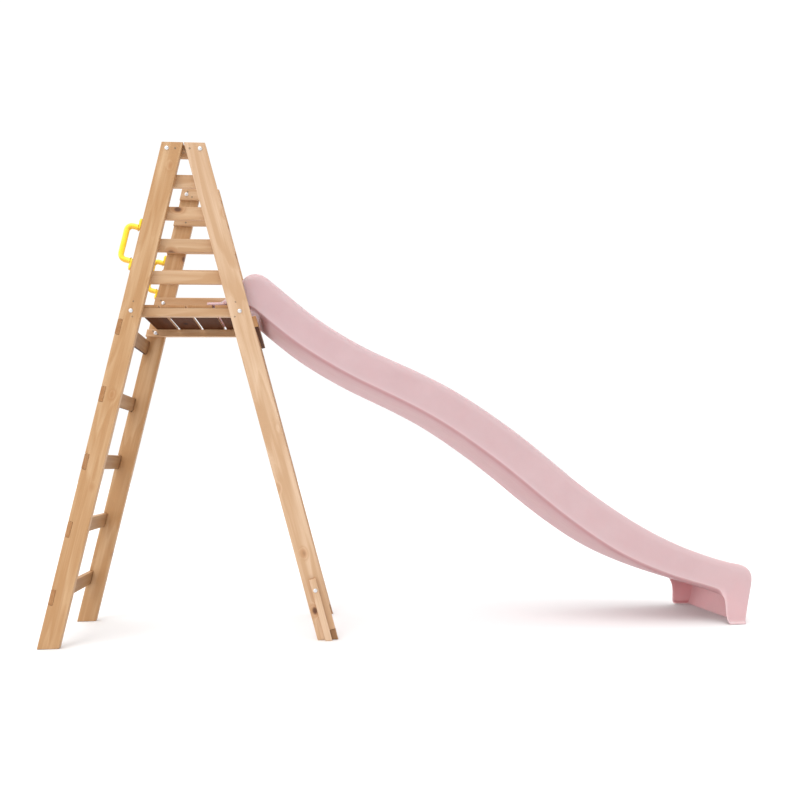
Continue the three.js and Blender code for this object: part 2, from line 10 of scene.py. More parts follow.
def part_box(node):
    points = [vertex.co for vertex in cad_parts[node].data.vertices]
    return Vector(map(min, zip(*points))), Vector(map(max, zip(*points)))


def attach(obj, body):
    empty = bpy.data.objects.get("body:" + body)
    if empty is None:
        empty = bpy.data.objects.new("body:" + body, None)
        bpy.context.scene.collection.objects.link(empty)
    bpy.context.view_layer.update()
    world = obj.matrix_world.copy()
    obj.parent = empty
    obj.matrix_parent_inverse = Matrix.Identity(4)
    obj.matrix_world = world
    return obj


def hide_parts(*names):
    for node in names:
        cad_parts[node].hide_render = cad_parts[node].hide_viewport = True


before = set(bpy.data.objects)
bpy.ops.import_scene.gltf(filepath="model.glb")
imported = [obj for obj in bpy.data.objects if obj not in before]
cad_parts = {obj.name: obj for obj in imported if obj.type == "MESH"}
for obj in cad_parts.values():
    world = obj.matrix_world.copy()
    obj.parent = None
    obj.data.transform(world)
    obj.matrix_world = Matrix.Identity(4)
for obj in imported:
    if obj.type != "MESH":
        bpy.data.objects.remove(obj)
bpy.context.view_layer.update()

# ------------------------------------------------------------------ driving dimensions, in millimetres

MM = 0.001
LEAN = math.radians(14.2)  # of each leg from the vertical
LEG_WIDTH = 90

LEG_EASE = 2.6  # how far the boards' long edges are rounded
BOARD_EASE = 2.0
SLAT_EASE = 2.6

RUNG_WIDTH = 68
RUNG_THICKNESS = 20
NOTCH_PLAY = 0.4
FRONT_BOARD_WIDTH = 50
FRONT_BOARD_THICKNESS = 18
ANCHOR_STRIP_WIDTH = 30
ANCHOR_BLOCK_WIDTH = 32.7
ANCHOR_NOTCH_WIDTH = 33

SLIDE_HALF_WIDTH = 240
SLIDE_WALL = 5
SLIDE_RIM_RADIUS = 21
SLIDE_BED_FILLET = 35
SLIDE_BED_HEIGHT = 6  # of the bed over the underside, along the waves
SLIDE_CREASE = 16  # height of the crease where the underside turns up into the skirt
SLIDE_STATIONS = 26
SLIDE_DECK_GAP = 0.3  # between the deck and the entry flange
RIM_SHARE = 0.36  # of a low side wall's height that its rim may take up
FILLET_SHARE = 0.6  # of the height from the bed to the rim that the bed's fillet may take up
FLARE_SHARE = 0.08  # how far the side wall leans out, for its straight height
FOOT_FLANGE = 11
SUBDIVISION_SWELL = 1.09  # makes up for how far subdivision draws an arc of 45 degree steps inwards

HANDLE_CENTRE = 1759  # height on the leg's edge
HANDLE_REACH = 58
HANDLE_HALF_SPAN = 76
HANDLE_CORNER = 24
HANDLE_ROOT = 2  # how far off the leg the tube starts, inside its lug
HANDLE_TUBE_RADIUS = 12.5
LUG_LENGTH = 54
LUG_WIDTH = 25
LUG_THICKNESS = 12
LUG_ROUNDING = 4.6
LUG_GAP = 0.3  # between the lug and the leg
COLLAR_FLARE = 4.2
COLLAR_RISE = 6
COLLAR_SUNK = 1.5  # how deep the collar starts in its lug

BOLT_HEAD_RADIUS = 9.3
BOLT_HEAD_HEIGHT = 5
BOLT_HEAD_RIM = 0.25  # the rim's share of the head's height
BOLT_HEAD_SEAT = 0.97  # the seat's share of the head's radius
BOLT_RADIUS = 4
BOLT_CHAMFER = 0.8
NUT_RADIUS = 7.5
NUT_HEIGHT = 6.5
NUT_BORE = BOLT_RADIUS - 0.2
PAST_NUT = 3  # how much of the bolt's end stands out of its nut
WASHER = [(BOLT_RADIUS, 1.2), (9.0, 1.2), (9.4, 0.6), (9.0, 0.0), (BOLT_RADIUS, 0.0)]
PAN_HEAD = [(0, 2.6), (2.2, 2.6), (3.6, 2.0), (4.9, 0.8), (5.0, 0.0)]
PAN_HEAD_SCREW = PAN_HEAD + [(2.3, 0.0), (2.3, -30), (0, -34)]
HANDLE_SCREW_SEAT = 16.2  # from the middle of a CAD handle screw to the seat of its head
SLIDE_SCREW_SEAT = 3  # from the top of a CAD slide screw down to the seat of its head
SCREW_HEAD_RADIUS = 4.2
LEG_SCREW_HEAD_RADIUS = 3.4
SCREW_PROUD = 0.35

APEX_SCREW_DROP = 28  # from the top of the tower
APEX_SCREW_X = (-35.5, 27)  # from its middle
RAIL_SCREWS = ((0.27, -14), (0.73, 14))  # share of the rail's height, and distance past the leg's middle
RUNG_SCREW_SPREAD = 17  # along the leg, to each side of the rung's middle
FRONT_SCREW_SPREAD = 11
DECK_SCREW_X = 22  # from a slat's long edges
DECK_SCREW_Y = 14  # from its ends
LEG_SCREWS = ((218, 1507), (214, 1442), (-224, 1508), (-229, 1441))  # (from the tower's middle, height)


def box_mm(node):
    """A CAD node's lowest and highest corners, in millimetres."""
    low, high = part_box(node)
    return low / MM, high / MM


tower_low, tower_high = box_mm("near_apex_cleat")
TOWER_X = (tower_low.x + tower_high.x) / 2  # the middle of the tower
TOWER_HEIGHT = tower_high.z


# ------------------------------------------------------------------ making and finishing pieces


def add_piece(name, mesh, material):
    piece = bpy.data.objects.new(name, mesh)
    bpy.context.scene.collection.objects.link(piece)
    mesh.materials.clear()
    mesh.materials.append(material)
    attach(piece, "root")
    return piece


def mesh_from(name, points, faces):
    """A mesh from points in millimetres."""
    mesh = bpy.data.meshes.new(name)
    mesh.from_pydata([Vector(p) * MM for p in points], [], faces)
    mesh.update()
    return mesh


def outward(mesh):
    """Turns the faces of a closed mesh outwards."""
    cage = bmesh.new()
    cage.from_mesh(mesh)
    bmesh.ops.recalc_face_normals(cage, faces=cage.faces)
    cage.to_mesh(mesh)
    cage.free()
    return mesh


def smooth(mesh):
    mesh.polygons.foreach_set("use_smooth", [True] * len(mesh.polygons))
    return mesh


def ease_edges(piece, width, segments=3, angle=30):
    bevel = piece.modifiers.new("eased edges", "BEVEL")
    bevel.width = width * MM
    bevel.segments = segments
    bevel.limit_method = "ANGLE"
    bevel.angle_limit = math.radians(angle)


def baked(holder, place):
    """The mesh that an object's curve or modifiers make, moved to its place. The object goes."""
    bpy.context.scene.collection.objects.link(holder)
    bpy.context.view_layer.update()
    made = bpy.data.meshes.new_from_object(holder.evaluated_get(bpy.context.evaluated_depsgraph_get()))
    made.transform(place)
    made.name = holder.name
    bpy.data.objects.remove(holder)
    return made


def finished_mesh(name, mesh, add_stack, place):
    """The mesh of a stack of modifiers at its own origin, moved to its place."""
    holder = bpy.data.objects.new(name, mesh)
    add_stack(holder)
    made = baked(holder, place)
    bpy.data.meshes.remove(mesh)
    return made


def joined(name, meshes):
    """One mesh of several."""
    whole = bmesh.new()
    for mesh in meshes:
        whole.from_mesh(mesh)
    made = bpy.data.meshes.new(name)
    whole.to_mesh(made)
    whole.free()
    return made


def arrange(tree, groups):
    """Frames the nodes by effect and sets them out in rows."""
    for row, (title, members) in enumerate(groups.items()):
        surround = tree.nodes.new("NodeFrame")
        surround.label = title
        for column, node in enumerate(members):
            node.location = (220 * column, -320 * row)
            node.parent = surround


# ------------------------------------------------------------------ materials


def empty_material(name):
    material = bpy.data.materials.new(name)
    material.use_nodes = True
    material.node_tree.nodes.clear()
    return material


def timber(name, turn, light, dark, gloss, painted_shade=0.0):
    """Clear-coated pine. turn is the rotation that lays the board's length along X.

    The last argument is how much painted shade darkens the faces that look down or away from the ladder; it
    also takes away their shine and coat.
    """
    material = empty_material(name)
    tree = material.node_tree
    nodes = tree.nodes
    links = tree.links

    output = nodes.new("ShaderNodeOutputMaterial")
    output.label = "timber surface"
    shader = nodes.new("ShaderNodeBsdfPrincipled")
    shader.label = "coated pine"
    shader.inputs["Coat Roughness"].default_value = 0.32

    place = nodes.new("ShaderNodeTexCoord")
    place.label = "where on the tower"
    along = nodes.new("ShaderNodeMapping")
    along.label = "board's length to X"
    along.inputs["Rotation"].default_value = turn
    which = nodes.new("ShaderNodeObjectInfo")
    which.label = "which board"
    shift = nodes.new("ShaderNodeVectorMath")
    shift.label = "a different log for each board"
    shift.operation = "MULTIPLY_ADD"
    shift.inputs[1].default_value = (17.3, 9.1, 13.7)

    stretch = nodes.new("ShaderNodeVectorMath")
    stretch.label = "figure is long and narrow"
    stretch.operation = "MULTIPLY"
    stretch.inputs[1].default_value = (1.1, 9.0, 9.0)
    drift = nodes.new("ShaderNodeTexNoise")
    drift.label = "wandering heart of the log"
    drift.inputs["Scale"].default_value = 1.0
    drift.inputs["Roughness"].default_value = 0.45
    across = nodes.new("ShaderNodeSeparateXYZ")
    across.label = "across the board"
    bend = nodes.new("ShaderNodeMath")
    bend.label = "rings bent by the heart"
    bend.operation = "MULTIPLY_ADD"
    bend.inputs[1].default_value = 0.045
    knot_bend = nodes.new("ShaderNodeMath")
    knot_bend.label = "rings swing round knots"
    knot_bend.operation = "MULTIPLY_ADD"
    knot_bend.inputs[1].default_value = 0.012
    rings = nodes.new("ShaderNodeMath")
    rings.label = "rings per metre"
    rings.operation = "MULTIPLY"
    rings.inputs[1].default_value = 150.0
    saw = nodes.new("ShaderNodeMath")
    saw.label = "one ring after another"
    saw.operation = "FRACT"
    ring_tone = nodes.new("ShaderNodeValToRGB")
    ring_tone.label = "early wood to late wood"
    ring_tone.color_ramp.elements[0].color = (0.12, 0.12, 0.12, 1)
    ring_tone.color_ramp.elements[1].color = (0.30, 0.30, 0.30, 1)
    late = ring_tone.color_ramp.elements.new(0.82)
    late.color = (0.85, 0.85, 0.85, 1)

    fibre_size = nodes.new("ShaderNodeVectorMath")
    fibre_size.label = "fibres are very long"
    fibre_size.operation = "MULTIPLY"
    fibre_size.inputs[1].default_value = (7.0, 240.0, 240.0)
    fibre = nodes.new("ShaderNodeTexNoise")
    fibre.label = "fibres"
    fibre.inputs["Scale"].default_value = 1.0
    fibre.inputs["Detail"].default_value = 3.0
    fibre.inputs["Roughness"].default_value = 0.6
    streak_size = nodes.new("ShaderNodeVectorMath")
    streak_size.label = "streaks are long"
    streak_size.operation = "MULTIPLY"
    streak_size.inputs[1].default_value = (1.8, 34.0, 34.0)
    streak = nodes.new("ShaderNodeTexNoise")
    streak.label = "darker and paler streaks"
    streak.inputs["Scale"].default_value = 1.0

    knot_shape = nodes.new("ShaderNodeVectorMath")
    knot_shape.label = "knots a little long"
    knot_shape.operation = "MULTIPLY"
    knot_shape.inputs[1].default_value = (5.2, 8.0, 8.0)
    knot = nodes.new("ShaderNodeTexVoronoi")
    knot.label = "scattered knots"
    knot.inputs["Scale"].default_value = 1.0
    knot_edge = nodes.new("ShaderNodeMapRange")
    knot_edge.label = "knot's dark core"
    knot_edge.interpolation_type = "SMOOTHSTEP"
    knot_edge.inputs["From Min"].default_value = 0.05
    knot_edge.inputs["From Max"].default_value = 0.12
    knot_edge.inputs["To Min"].default_value = 1.0
    knot_edge.inputs["To Max"].default_value = 0.0
    knot_halo = nodes.new("ShaderNodeMapRange")
    knot_halo.label = "resin round the knot"
    knot_halo.interpolation_type = "SMOOTHSTEP"
    knot_halo.inputs["From Min"].default_value = 0.05
    knot_halo.inputs["From Max"].default_value = 0.24
    knot_halo.inputs["To Min"].default_value = 1.0
    knot_halo.inputs["To Max"].default_value = 0.0

    tone = nodes.new("ShaderNodeMath")
    tone.label = "rings and streaks together"
    tone.operation = "MULTIPLY_ADD"
    tone.inputs[1].default_value = 0.36
    fine_tone = nodes.new("ShaderNodeMath")
    fine_tone.label = "fibres over them"
    fine_tone.operation = "MULTIPLY_ADD"
    fine_tone.inputs[1].default_value = 0.40
    wood = nodes.new("ShaderNodeValToRGB")
    wood.label = "pine, pale to deep"
    wood.color_ramp.elements[0].position = 0.28
    wood.color_ramp.elements[0].color = light
    wood.color_ramp.elements[1].color = dark
    board_tone = nodes.new("ShaderNodeMapRange")
    board_tone.label = "each board's own shade"
    board_tone.inputs["To Min"].default_value = 0.92
    board_tone.inputs["To Max"].default_value = 1.06
    shaded = nodes.new("ShaderNodeVectorMath")
    shaded.label = "shade the board"
    shaded.operation = "SCALE"
    resin = nodes.new("ShaderNodeMix")
    resin.label = "warm resin stain"
    resin.data_type = "RGBA"
    resin.blend_type = "MULTIPLY"
    resin.inputs["B"].default_value = (0.80, 0.60, 0.42, 1)
    core = nodes.new("ShaderNodeMix")
    core.label = "knot colour"
    core.data_type = "RGBA"
    core.inputs["B"].default_value = (0.13, 0.052, 0.022, 1)
    resin_amount = nodes.new("ShaderNodeMath")
    resin_amount.label = "how much resin"
    resin_amount.operation = "MULTIPLY"
    resin_amount.inputs[1].default_value = 0.75

    face = nodes.new("ShaderNodeVectorMath")
    face.label = "does the face cut the grain"
    face.operation = "ABSOLUTE"
    facing = nodes.new("ShaderNodeMapping")
    facing.label = "facing, board's length to X"
    facing.vector_type = "NORMAL"
    facing.inputs["Rotation"].default_value = turn
    end_part = nodes.new("ShaderNodeSeparateXYZ")
    end_part.label = "share along the grain"
    end_mask = nodes.new("ShaderNodeMapRange")
    end_mask.label = "end grain"
    end_mask.inputs["From Min"].default_value = 0.72
    end_mask.inputs["From Max"].default_value = 0.9
    end_grain = nodes.new("ShaderNodeMix")
    end_grain.label = "thirsty, darker end grain"
    end_grain.data_type = "RGBA"
    end_grain.blend_type = "MULTIPLY"
    end_grain.inputs["B"].default_value = (0.72, 0.60, 0.48, 1)

    # Painted shade: faces that look down or away from the ladder are darkened and lose their shine and
    # coat.
    sides = nodes.new("ShaderNodeSeparateXYZ")
    sides.label = "which way the face looks"
    under = nodes.new("ShaderNodeMapRange")
    under.label = "faces that look down"
    under.inputs["From Min"].default_value = -0.6
    under.inputs["From Max"].default_value = -0.95
    away = nodes.new("ShaderNodeMapRange")
    away.label = "faces that look away from the ladder"
    away.inputs["From Min"].default_value = 0.7
    away.inputs["From Max"].default_value = 0.95
    away.inputs["To Max"].default_value = 0.4
    painted_shade_mask = nodes.new("ShaderNodeMath")
    painted_shade_mask.label = "either of them"
    painted_shade_mask.operation = "MAXIMUM"
    painted_shade_amount = nodes.new("ShaderNodeMath")
    painted_shade_amount.label = "how dark they are"
    painted_shade_amount.operation = "MULTIPLY"
    painted_shade_amount.inputs[1].default_value = painted_shade
    painted_shade_tint = nodes.new("ShaderNodeMix")
    painted_shade_tint.label = "painted shade, darker"
    painted_shade_tint.data_type = "RGBA"
    painted_shade_tint.blend_type = "MULTIPLY"
    painted_shade_tint.inputs["B"].default_value = (0.10, 0.032, 0.012, 1)

    painted_shade_shine = nodes.new("ShaderNodeMapRange")
    painted_shade_shine.label = "painted-shade faces hardly shine"
    painted_shade_shine.inputs["To Min"].default_value = 0.4
    painted_shade_shine.inputs["To Max"].default_value = 0.0
    painted_shade_coat = nodes.new("ShaderNodeMapRange")
    painted_shade_coat.label = "painted-shade faces have no coat"
    painted_shade_coat.inputs["To Min"].default_value = gloss
    painted_shade_coat.inputs["To Max"].default_value = 0.0

    sheen_change = nodes.new("ShaderNodeMapRange")
    sheen_change.label = "late wood is glossier"
    sheen_change.inputs["To Min"].default_value = 0.62
    sheen_change.inputs["To Max"].default_value = 0.46
    relief = nodes.new("ShaderNodeBump")
    relief.label = "raised grain"
    relief.inputs["Strength"].default_value = 0.25
    relief.inputs["Distance"].default_value = 0.0006

    links.new(place.outputs["Object"], along.inputs["Vector"])
    links.new(which.outputs["Random"], shift.inputs[0])
    links.new(along.outputs["Vector"], shift.inputs[2])
    links.new(shift.outputs["Vector"], stretch.inputs[0])
    links.new(stretch.outputs["Vector"], drift.inputs["Vector"])
    links.new(shift.outputs["Vector"], knot_shape.inputs[0])
    links.new(knot_shape.outputs["Vector"], knot.inputs["Vector"])
    links.new(knot.outputs["Distance"], knot_edge.inputs["Value"])
    links.new(knot.outputs["Distance"], knot_halo.inputs["Value"])
    links.new(shift.outputs["Vector"], across.inputs["Vector"])
    links.new(drift.outputs["Fac"], bend.inputs[0])
    links.new(across.outputs["Y"], bend.inputs[2])
    links.new(knot_halo.outputs["Result"], knot_bend.inputs[0])
    links.new(bend.outputs["Value"], knot_bend.inputs[2])
    links.new(knot_bend.outputs["Value"], rings.inputs[0])
    links.new(rings.outputs["Value"], saw.inputs[0])
    links.new(saw.outputs["Value"], ring_tone.inputs["Fac"])
    links.new(shift.outputs["Vector"], fibre_size.inputs[0])
    links.new(fibre_size.outputs["Vector"], fibre.inputs["Vector"])
    links.new(shift.outputs["Vector"], streak_size.inputs[0])
    links.new(streak_size.outputs["Vector"], streak.inputs["Vector"])
    links.new(ring_tone.outputs["Color"], tone.inputs[0])
    links.new(streak.outputs["Fac"], tone.inputs[2])
    links.new(fibre.outputs["Fac"], fine_tone.inputs[0])
    links.new(tone.outputs["Value"], fine_tone.inputs[2])
    links.new(fine_tone.outputs["Value"], wood.inputs["Fac"])
    links.new(which.outputs["Random"], board_tone.inputs["Value"])
    links.new(wood.outputs["Color"], shaded.inputs[0])
    links.new(board_tone.outputs["Result"], shaded.inputs["Scale"])
    links.new(knot_halo.outputs["Result"], resin_amount.inputs[0])
    links.new(resin_amount.outputs["Value"], resin.inputs["Factor"])
    links.new(shaded.outputs["Vector"], resin.inputs["A"])
    links.new(knot_edge.outputs["Result"], core.inputs["Factor"])
    links.new(resin.outputs["Result"], core.inputs["A"])
    links.new(place.outputs["Normal"], facing.inputs["Vector"])
    links.new(facing.outputs["Vector"], face.inputs[0])
    links.new(face.outputs["Vector"], end_part.inputs["Vector"])
    links.new(end_part.outputs["X"], end_mask.inputs["Value"])
    links.new(end_mask.outputs["Result"], end_grain.inputs["Factor"])
    links.new(core.outputs["Result"], end_grain.inputs["A"])
    links.new(place.outputs["Normal"], sides.inputs["Vector"])
    links.new(sides.outputs["Z"], under.inputs["Value"])
    links.new(sides.outputs["X"], away.inputs["Value"])
    links.new(under.outputs["Result"], painted_shade_mask.inputs[0])
    links.new(away.outputs["Result"], painted_shade_mask.inputs[1])
    links.new(painted_shade_mask.outputs["Value"], painted_shade_amount.inputs[0])
    links.new(painted_shade_amount.outputs["Value"], painted_shade_tint.inputs["Factor"])
    links.new(end_grain.outputs["Result"], painted_shade_tint.inputs["A"])
    links.new(painted_shade_tint.outputs["Result"], shader.inputs["Base Color"])
    links.new(painted_shade_amount.outputs["Value"], painted_shade_shine.inputs["Value"])
    links.new(painted_shade_shine.outputs["Result"], shader.inputs["Specular IOR Level"])
    links.new(painted_shade_amount.outputs["Value"], painted_shade_coat.inputs["Value"])
    links.new(painted_shade_coat.outputs["Result"], shader.inputs["Coat Weight"])
    links.new(ring_tone.outputs["Color"], sheen_change.inputs["Value"])
    links.new(sheen_change.outputs["Result"], shader.inputs["Roughness"])
    links.new(fine_tone.outputs["Value"], relief.inputs["Height"])
    links.new(relief.outputs["Normal"], shader.inputs["Normal"])
    links.new(shader.outputs["BSDF"], output.inputs["Surface"])

    arrange(
        tree,
        {
            "board's place and log": [place, along, which, shift],
            "growth rings": [stretch, drift, across, bend, knot_bend, rings, saw, ring_tone],
            "fibres and streaks": [fibre_size, fibre, streak_size, streak, tone, fine_tone],
            "knots": [knot_shape, knot, knot_edge, knot_halo, resin_amount],
            "colour": [wood, board_tone, shaded, resin, core],
            "end grain": [facing, face, end_part, end_mask, end_grain],
            "unplaned faces": [sides, under, away, painted_shade_mask, painted_shade_amount, painted_shade_tint, painted_shade_shine, painted_shade_coat],
            "finish": [sheen_change, relief, shader, output],
        },
    )
    return material


def moulded_plastic(name, base, pale, roughness, mottle_scale, gloss, glow):
    """Smooth moulded plastic with faint mottling, a painted highlight and some rubbed wear along its edges,
    and painted shade underneath.

    glow is how much of the light passes through the wall.
    """
    material = empty_material(name)
    tree = material.node_tree
    nodes = tree.nodes
    links = tree.links

    output = nodes.new("ShaderNodeOutputMaterial")
    output.label = "plastic surface"
    shader = nodes.new("ShaderNodeBsdfPrincipled")
    shader.label = "moulded plastic"
    shader.inputs["Coat Weight"].default_value = gloss
    shader.inputs["Coat Roughness"].default_value = 0.25
    shader.inputs["Specular IOR Level"].default_value = 0.45
    shader.inputs["Subsurface Weight"].default_value = glow
    shader.inputs["Subsurface Radius"].default_value = (0.04, 0.022, 0.022)
    shader.inputs["Subsurface Scale"].default_value = 0.6

    place = nodes.new("ShaderNodeTexCoord")
    place.label = "where on the piece"
    mottle = nodes.new("ShaderNodeTexNoise")
    mottle.label = "uneven pigment"
    mottle.inputs["Scale"].default_value = mottle_scale
    mottle.inputs["Detail"].default_value = 4.0
    mottle.inputs["Roughness"].default_value = 0.55
    mottle_range = nodes.new("ShaderNodeMapRange")
    mottle_range.label = "only faint"
    mottle_range.inputs["From Min"].default_value = 0.3
    mottle_range.inputs["From Max"].default_value = 0.7
    mottle_range.inputs["To Max"].default_value = 0.28
    # Painted highlight, with some rubbed wear, along the slide's edges and crease, read from a point
    # attribute.
    edge = nodes.new("ShaderNodeAttribute")
    edge.label = "thin and rubbed edges"
    edge.attribute_name = "rubbed"
    paler = nodes.new("ShaderNodeMath")
    paler.label = "mottling and edges"
    paler.operation = "MAXIMUM"
    tint = nodes.new("ShaderNodeMix")
    tint.label = "pigment"
    tint.data_type = "RGBA"
    tint.inputs["A"].default_value = base
    tint.inputs["B"].default_value = pale
    # Painted shade: faces that look down get a darker, redder colour.
    sides = nodes.new("ShaderNodeSeparateXYZ")
    sides.label = "which way the face looks"
    under = nodes.new("ShaderNodeMapRange")
    under.label = "faces that look down"
    under.inputs["From Min"].default_value = -0.15
    under.inputs["From Max"].default_value = -0.4
    painted_under_shade = nodes.new("ShaderNodeMix")
    painted_under_shade.label = "painted shade underneath"
    painted_under_shade.data_type = "RGBA"
    painted_under_shade.blend_type = "MULTIPLY"
    painted_under_shade.inputs["B"].default_value = (0.78, 0.62, 0.63, 1)

    skin = nodes.new("ShaderNodeTexNoise")
    skin.label = "mould texture"
    skin.inputs["Scale"].default_value = 420.0
    ripple = nodes.new("ShaderNodeTexNoise")
    ripple.label = "slight waviness of the wall"
    ripple.inputs["Scale"].default_value = 9.0
    ripple.inputs["Detail"].default_value = 1.0
    skin_bump = nodes.new("ShaderNodeBump")
    skin_bump.label = "mould texture's relief"
    skin_bump.inputs["Strength"].default_value = 0.12
    skin_bump.inputs["Distance"].default_value = 0.0004
    ripple_bump = nodes.new("ShaderNodeBump")
    ripple_bump.label = "waviness"
    ripple_bump.inputs["Strength"].default_value = 0.2
    ripple_bump.inputs["Distance"].default_value = 0.002
    scuff_size = nodes.new("ShaderNodeMapping")
    scuff_size.label = "scuffs run lengthwise"
    scuff_size.inputs["Scale"].default_value = (4.0, 60.0, 4.0)
    scuff = nodes.new("ShaderNodeTexNoise")
    scuff.label = "fine scuffs"
    scuff.inputs["Scale"].default_value = 3.0
    scuff.inputs["Detail"].default_value = 5.0
    dull = nodes.new("ShaderNodeMapRange")
    dull.label = "scuffs are duller"
    dull.inputs["From Min"].default_value = 0.35
    dull.inputs["From Max"].default_value = 0.75
    dull.inputs["To Min"].default_value = roughness
    dull.inputs["To Max"].default_value = roughness + 0.14

    links.new(place.outputs["Object"], mottle.inputs["Vector"])
    links.new(mottle.outputs["Fac"], mottle_range.inputs["Value"])
    links.new(mottle_range.outputs["Result"], paler.inputs[0])
    links.new(edge.outputs["Fac"], paler.inputs[1])
    links.new(paler.outputs["Value"], tint.inputs["Factor"])
    links.new(place.outputs["Normal"], sides.inputs["Vector"])
    links.new(sides.outputs["Z"], under.inputs["Value"])
    links.new(under.outputs["Result"], painted_under_shade.inputs["Factor"])
    links.new(tint.outputs["Result"], painted_under_shade.inputs["A"])
    links.new(painted_under_shade.outputs["Result"], shader.inputs["Base Color"])
    links.new(place.outputs["Object"], skin.inputs["Vector"])
    links.new(place.outputs["Object"], ripple.inputs["Vector"])
    links.new(place.outputs["Object"], scuff_size.inputs["Vector"])
    links.new(scuff_size.outputs["Vector"], scuff.inputs["Vector"])
    links.new(scuff.outputs["Fac"], dull.inputs["Value"])
    links.new(dull.outputs["Result"], shader.inputs["Roughness"])
    links.new(skin.outputs["Fac"], skin_bump.inputs["Height"])
    links.new(ripple.outputs["Fac"], ripple_bump.inputs["Height"])
    links.new(ripple_bump.outputs["Normal"], skin_bump.inputs["Normal"])
    links.new(skin_bump.outputs["Normal"], shader.inputs["Normal"])
    links.new(shader.outputs["BSDF"], output.inputs["Surface"])

    arrange(
        tree,
        {
            "colour": [place, mottle, mottle_range, edge, paler, tint],
            "underneath": [sides, under, painted_under_shade],
            "scuffs": [scuff_size, scuff, dull],
            "relief": [ripple, ripple_bump, skin, skin_bump],
            "finish": [shader, output],
        },
    )
    return material


def zinc(name, bright, dull, roughness):
    """Zinc-plated steel with a faint crystalline bloom."""
    material = empty_material(name)
    tree = material.node_tree
    nodes = tree.nodes
    links = tree.links

    output = nodes.new("ShaderNodeOutputMaterial")
    output.label = "metal surface"
    shader = nodes.new("ShaderNodeBsdfPrincipled")
    shader.label = "zinc plate"
    shader.inputs["Metallic"].default_value = 1.0
    place = nodes.new("ShaderNodeTexCoord")
    place.label = "where on the piece"
    bloom = nodes.new("ShaderNodeTexVoronoi")
    bloom.label = "zinc crystals"
    bloom.inputs["Scale"].default_value = 600.0
    weather = nodes.new("ShaderNodeTexNoise")
    weather.label = "weathering"
    weather.inputs["Scale"].default_value = 90.0
    weather.inputs["Detail"].default_value = 4.0
    blend = nodes.new("ShaderNodeMath")
    blend.label = "crystals and weathering"
    blend.operation = "MULTIPLY"
    tint = nodes.new("ShaderNodeMix")
    tint.label = "bright to dull zinc"
    tint.data_type = "RGBA"
    tint.inputs["A"].default_value = bright
    tint.inputs["B"].default_value = dull
    rough = nodes.new("ShaderNodeMapRange")
    rough.label = "dull spots are rougher"
    rough.inputs["To Min"].default_value = roughness
    rough.inputs["To Max"].default_value = roughness + 0.25

    links.new(place.outputs["Object"], bloom.inputs["Vector"])
    links.new(place.outputs["Object"], weather.inputs["Vector"])
    links.new(bloom.outputs["Distance"], blend.inputs[0])
    links.new(weather.outputs["Fac"], blend.inputs[1])
    links.new(blend.outputs["Value"], tint.inputs["Factor"])
    links.new(tint.outputs["Result"], shader.inputs["Base Color"])
    links.new(weather.outputs["Fac"], rough.inputs["Value"])
    links.new(rough.outputs["Result"], shader.inputs["Roughness"])
    links.new(shader.outputs["BSDF"], output.inputs["Surface"])

    arrange(tree, {"bloom": [place, bloom, weather, blend, tint], "finish": [rough, shader, output]})
    return material


PINE_LIGHT = (0.690, 0.470, 0.275, 1)
PINE_DEEP = (0.475, 0.255, 0.108, 1)
RAIL_LIGHT = (0.715, 0.515, 0.335, 1)
RAIL_DEEP = (0.485, 0.280, 0.140, 1)
PALE_LIGHT = (0.745, 0.555, 0.395, 1)
PALE_DEEP = (0.515, 0.315, 0.175, 1)
BLOCK_LIGHT = (0.50, 0.30, 0.155, 1)
BLOCK_DEEP = (0.28, 0.14, 0.06, 1)
PINK = (0.59, 0.378, 0.391, 1)
# Paler pink for the mottling, and for the painted highlight and rubbed wear on the slide's edges.
PINK_PALE_AND_HIGHLIGHT = (0.71, 0.52, 0.53, 1)
YELLOW = (1.0, 0.70, 0.012, 1)
YELLOW_RUBBED = (1.0, 0.80, 0.10, 1)
ZINC_BRIGHT = (0.80, 0.81, 0.83, 1)
ZINC_DULL = (0.50, 0.51, 0.53, 1)
SCREW_BRIGHT = (0.24, 0.19, 0.14, 1)
SCREW_DULL = (0.10, 0.08, 0.06, 1)
WOOD_GLOSS = 0.12

QUARTER = math.pi / 2
ladder_timber = timber("pine_ladder_legs", (0, QUARTER - LEAN, 0), PINE_LIGHT, PINE_DEEP, WOOD_GLOSS)
slide_side_timber = timber("pine_slide_legs", (0, QUARTER + LEAN, 0), PALE_LIGHT, PALE_DEEP, WOOD_GLOSS)
level_timber = timber("pine_rails", (0, 0, 0), RAIL_LIGHT, RAIL_DEEP, WOOD_GLOSS)
# Painted shade on the undersides of the rungs, slats and front board, and on their faces that look away
# from the ladder.
cross_timber = timber("pine_across", (0, 0, -QUARTER), PINE_LIGHT, PINE_DEEP, WOOD_GLOSS, painted_shade=0.95)
block_timber = timber("pine_anchor_block", (0, QUARTER + LEAN, 0), BLOCK_LIGHT, BLOCK_DEEP, gloss=0.0)

slide_pink = moulded_plastic(
    "slide_pink", PINK, PINK_PALE_AND_HIGHLIGHT, roughness=0.40, mottle_scale=7.0, gloss=0.05, glow=0.5
)
handle_yellow = moulded_plastic(
    "handle_yellow", YELLOW, YELLOW_RUBBED, roughness=0.28, mottle_scale=30.0, gloss=0.35, glow=0.0
)
bolt_zinc = zinc("bolt_zinc", ZINC_BRIGHT, ZINC_DULL, 0.28)
screw_zinc = zinc("screw_zinc", SCREW_BRIGHT, SCREW_DULL, 0.45)



# ------------------------------------------------------------------ boards


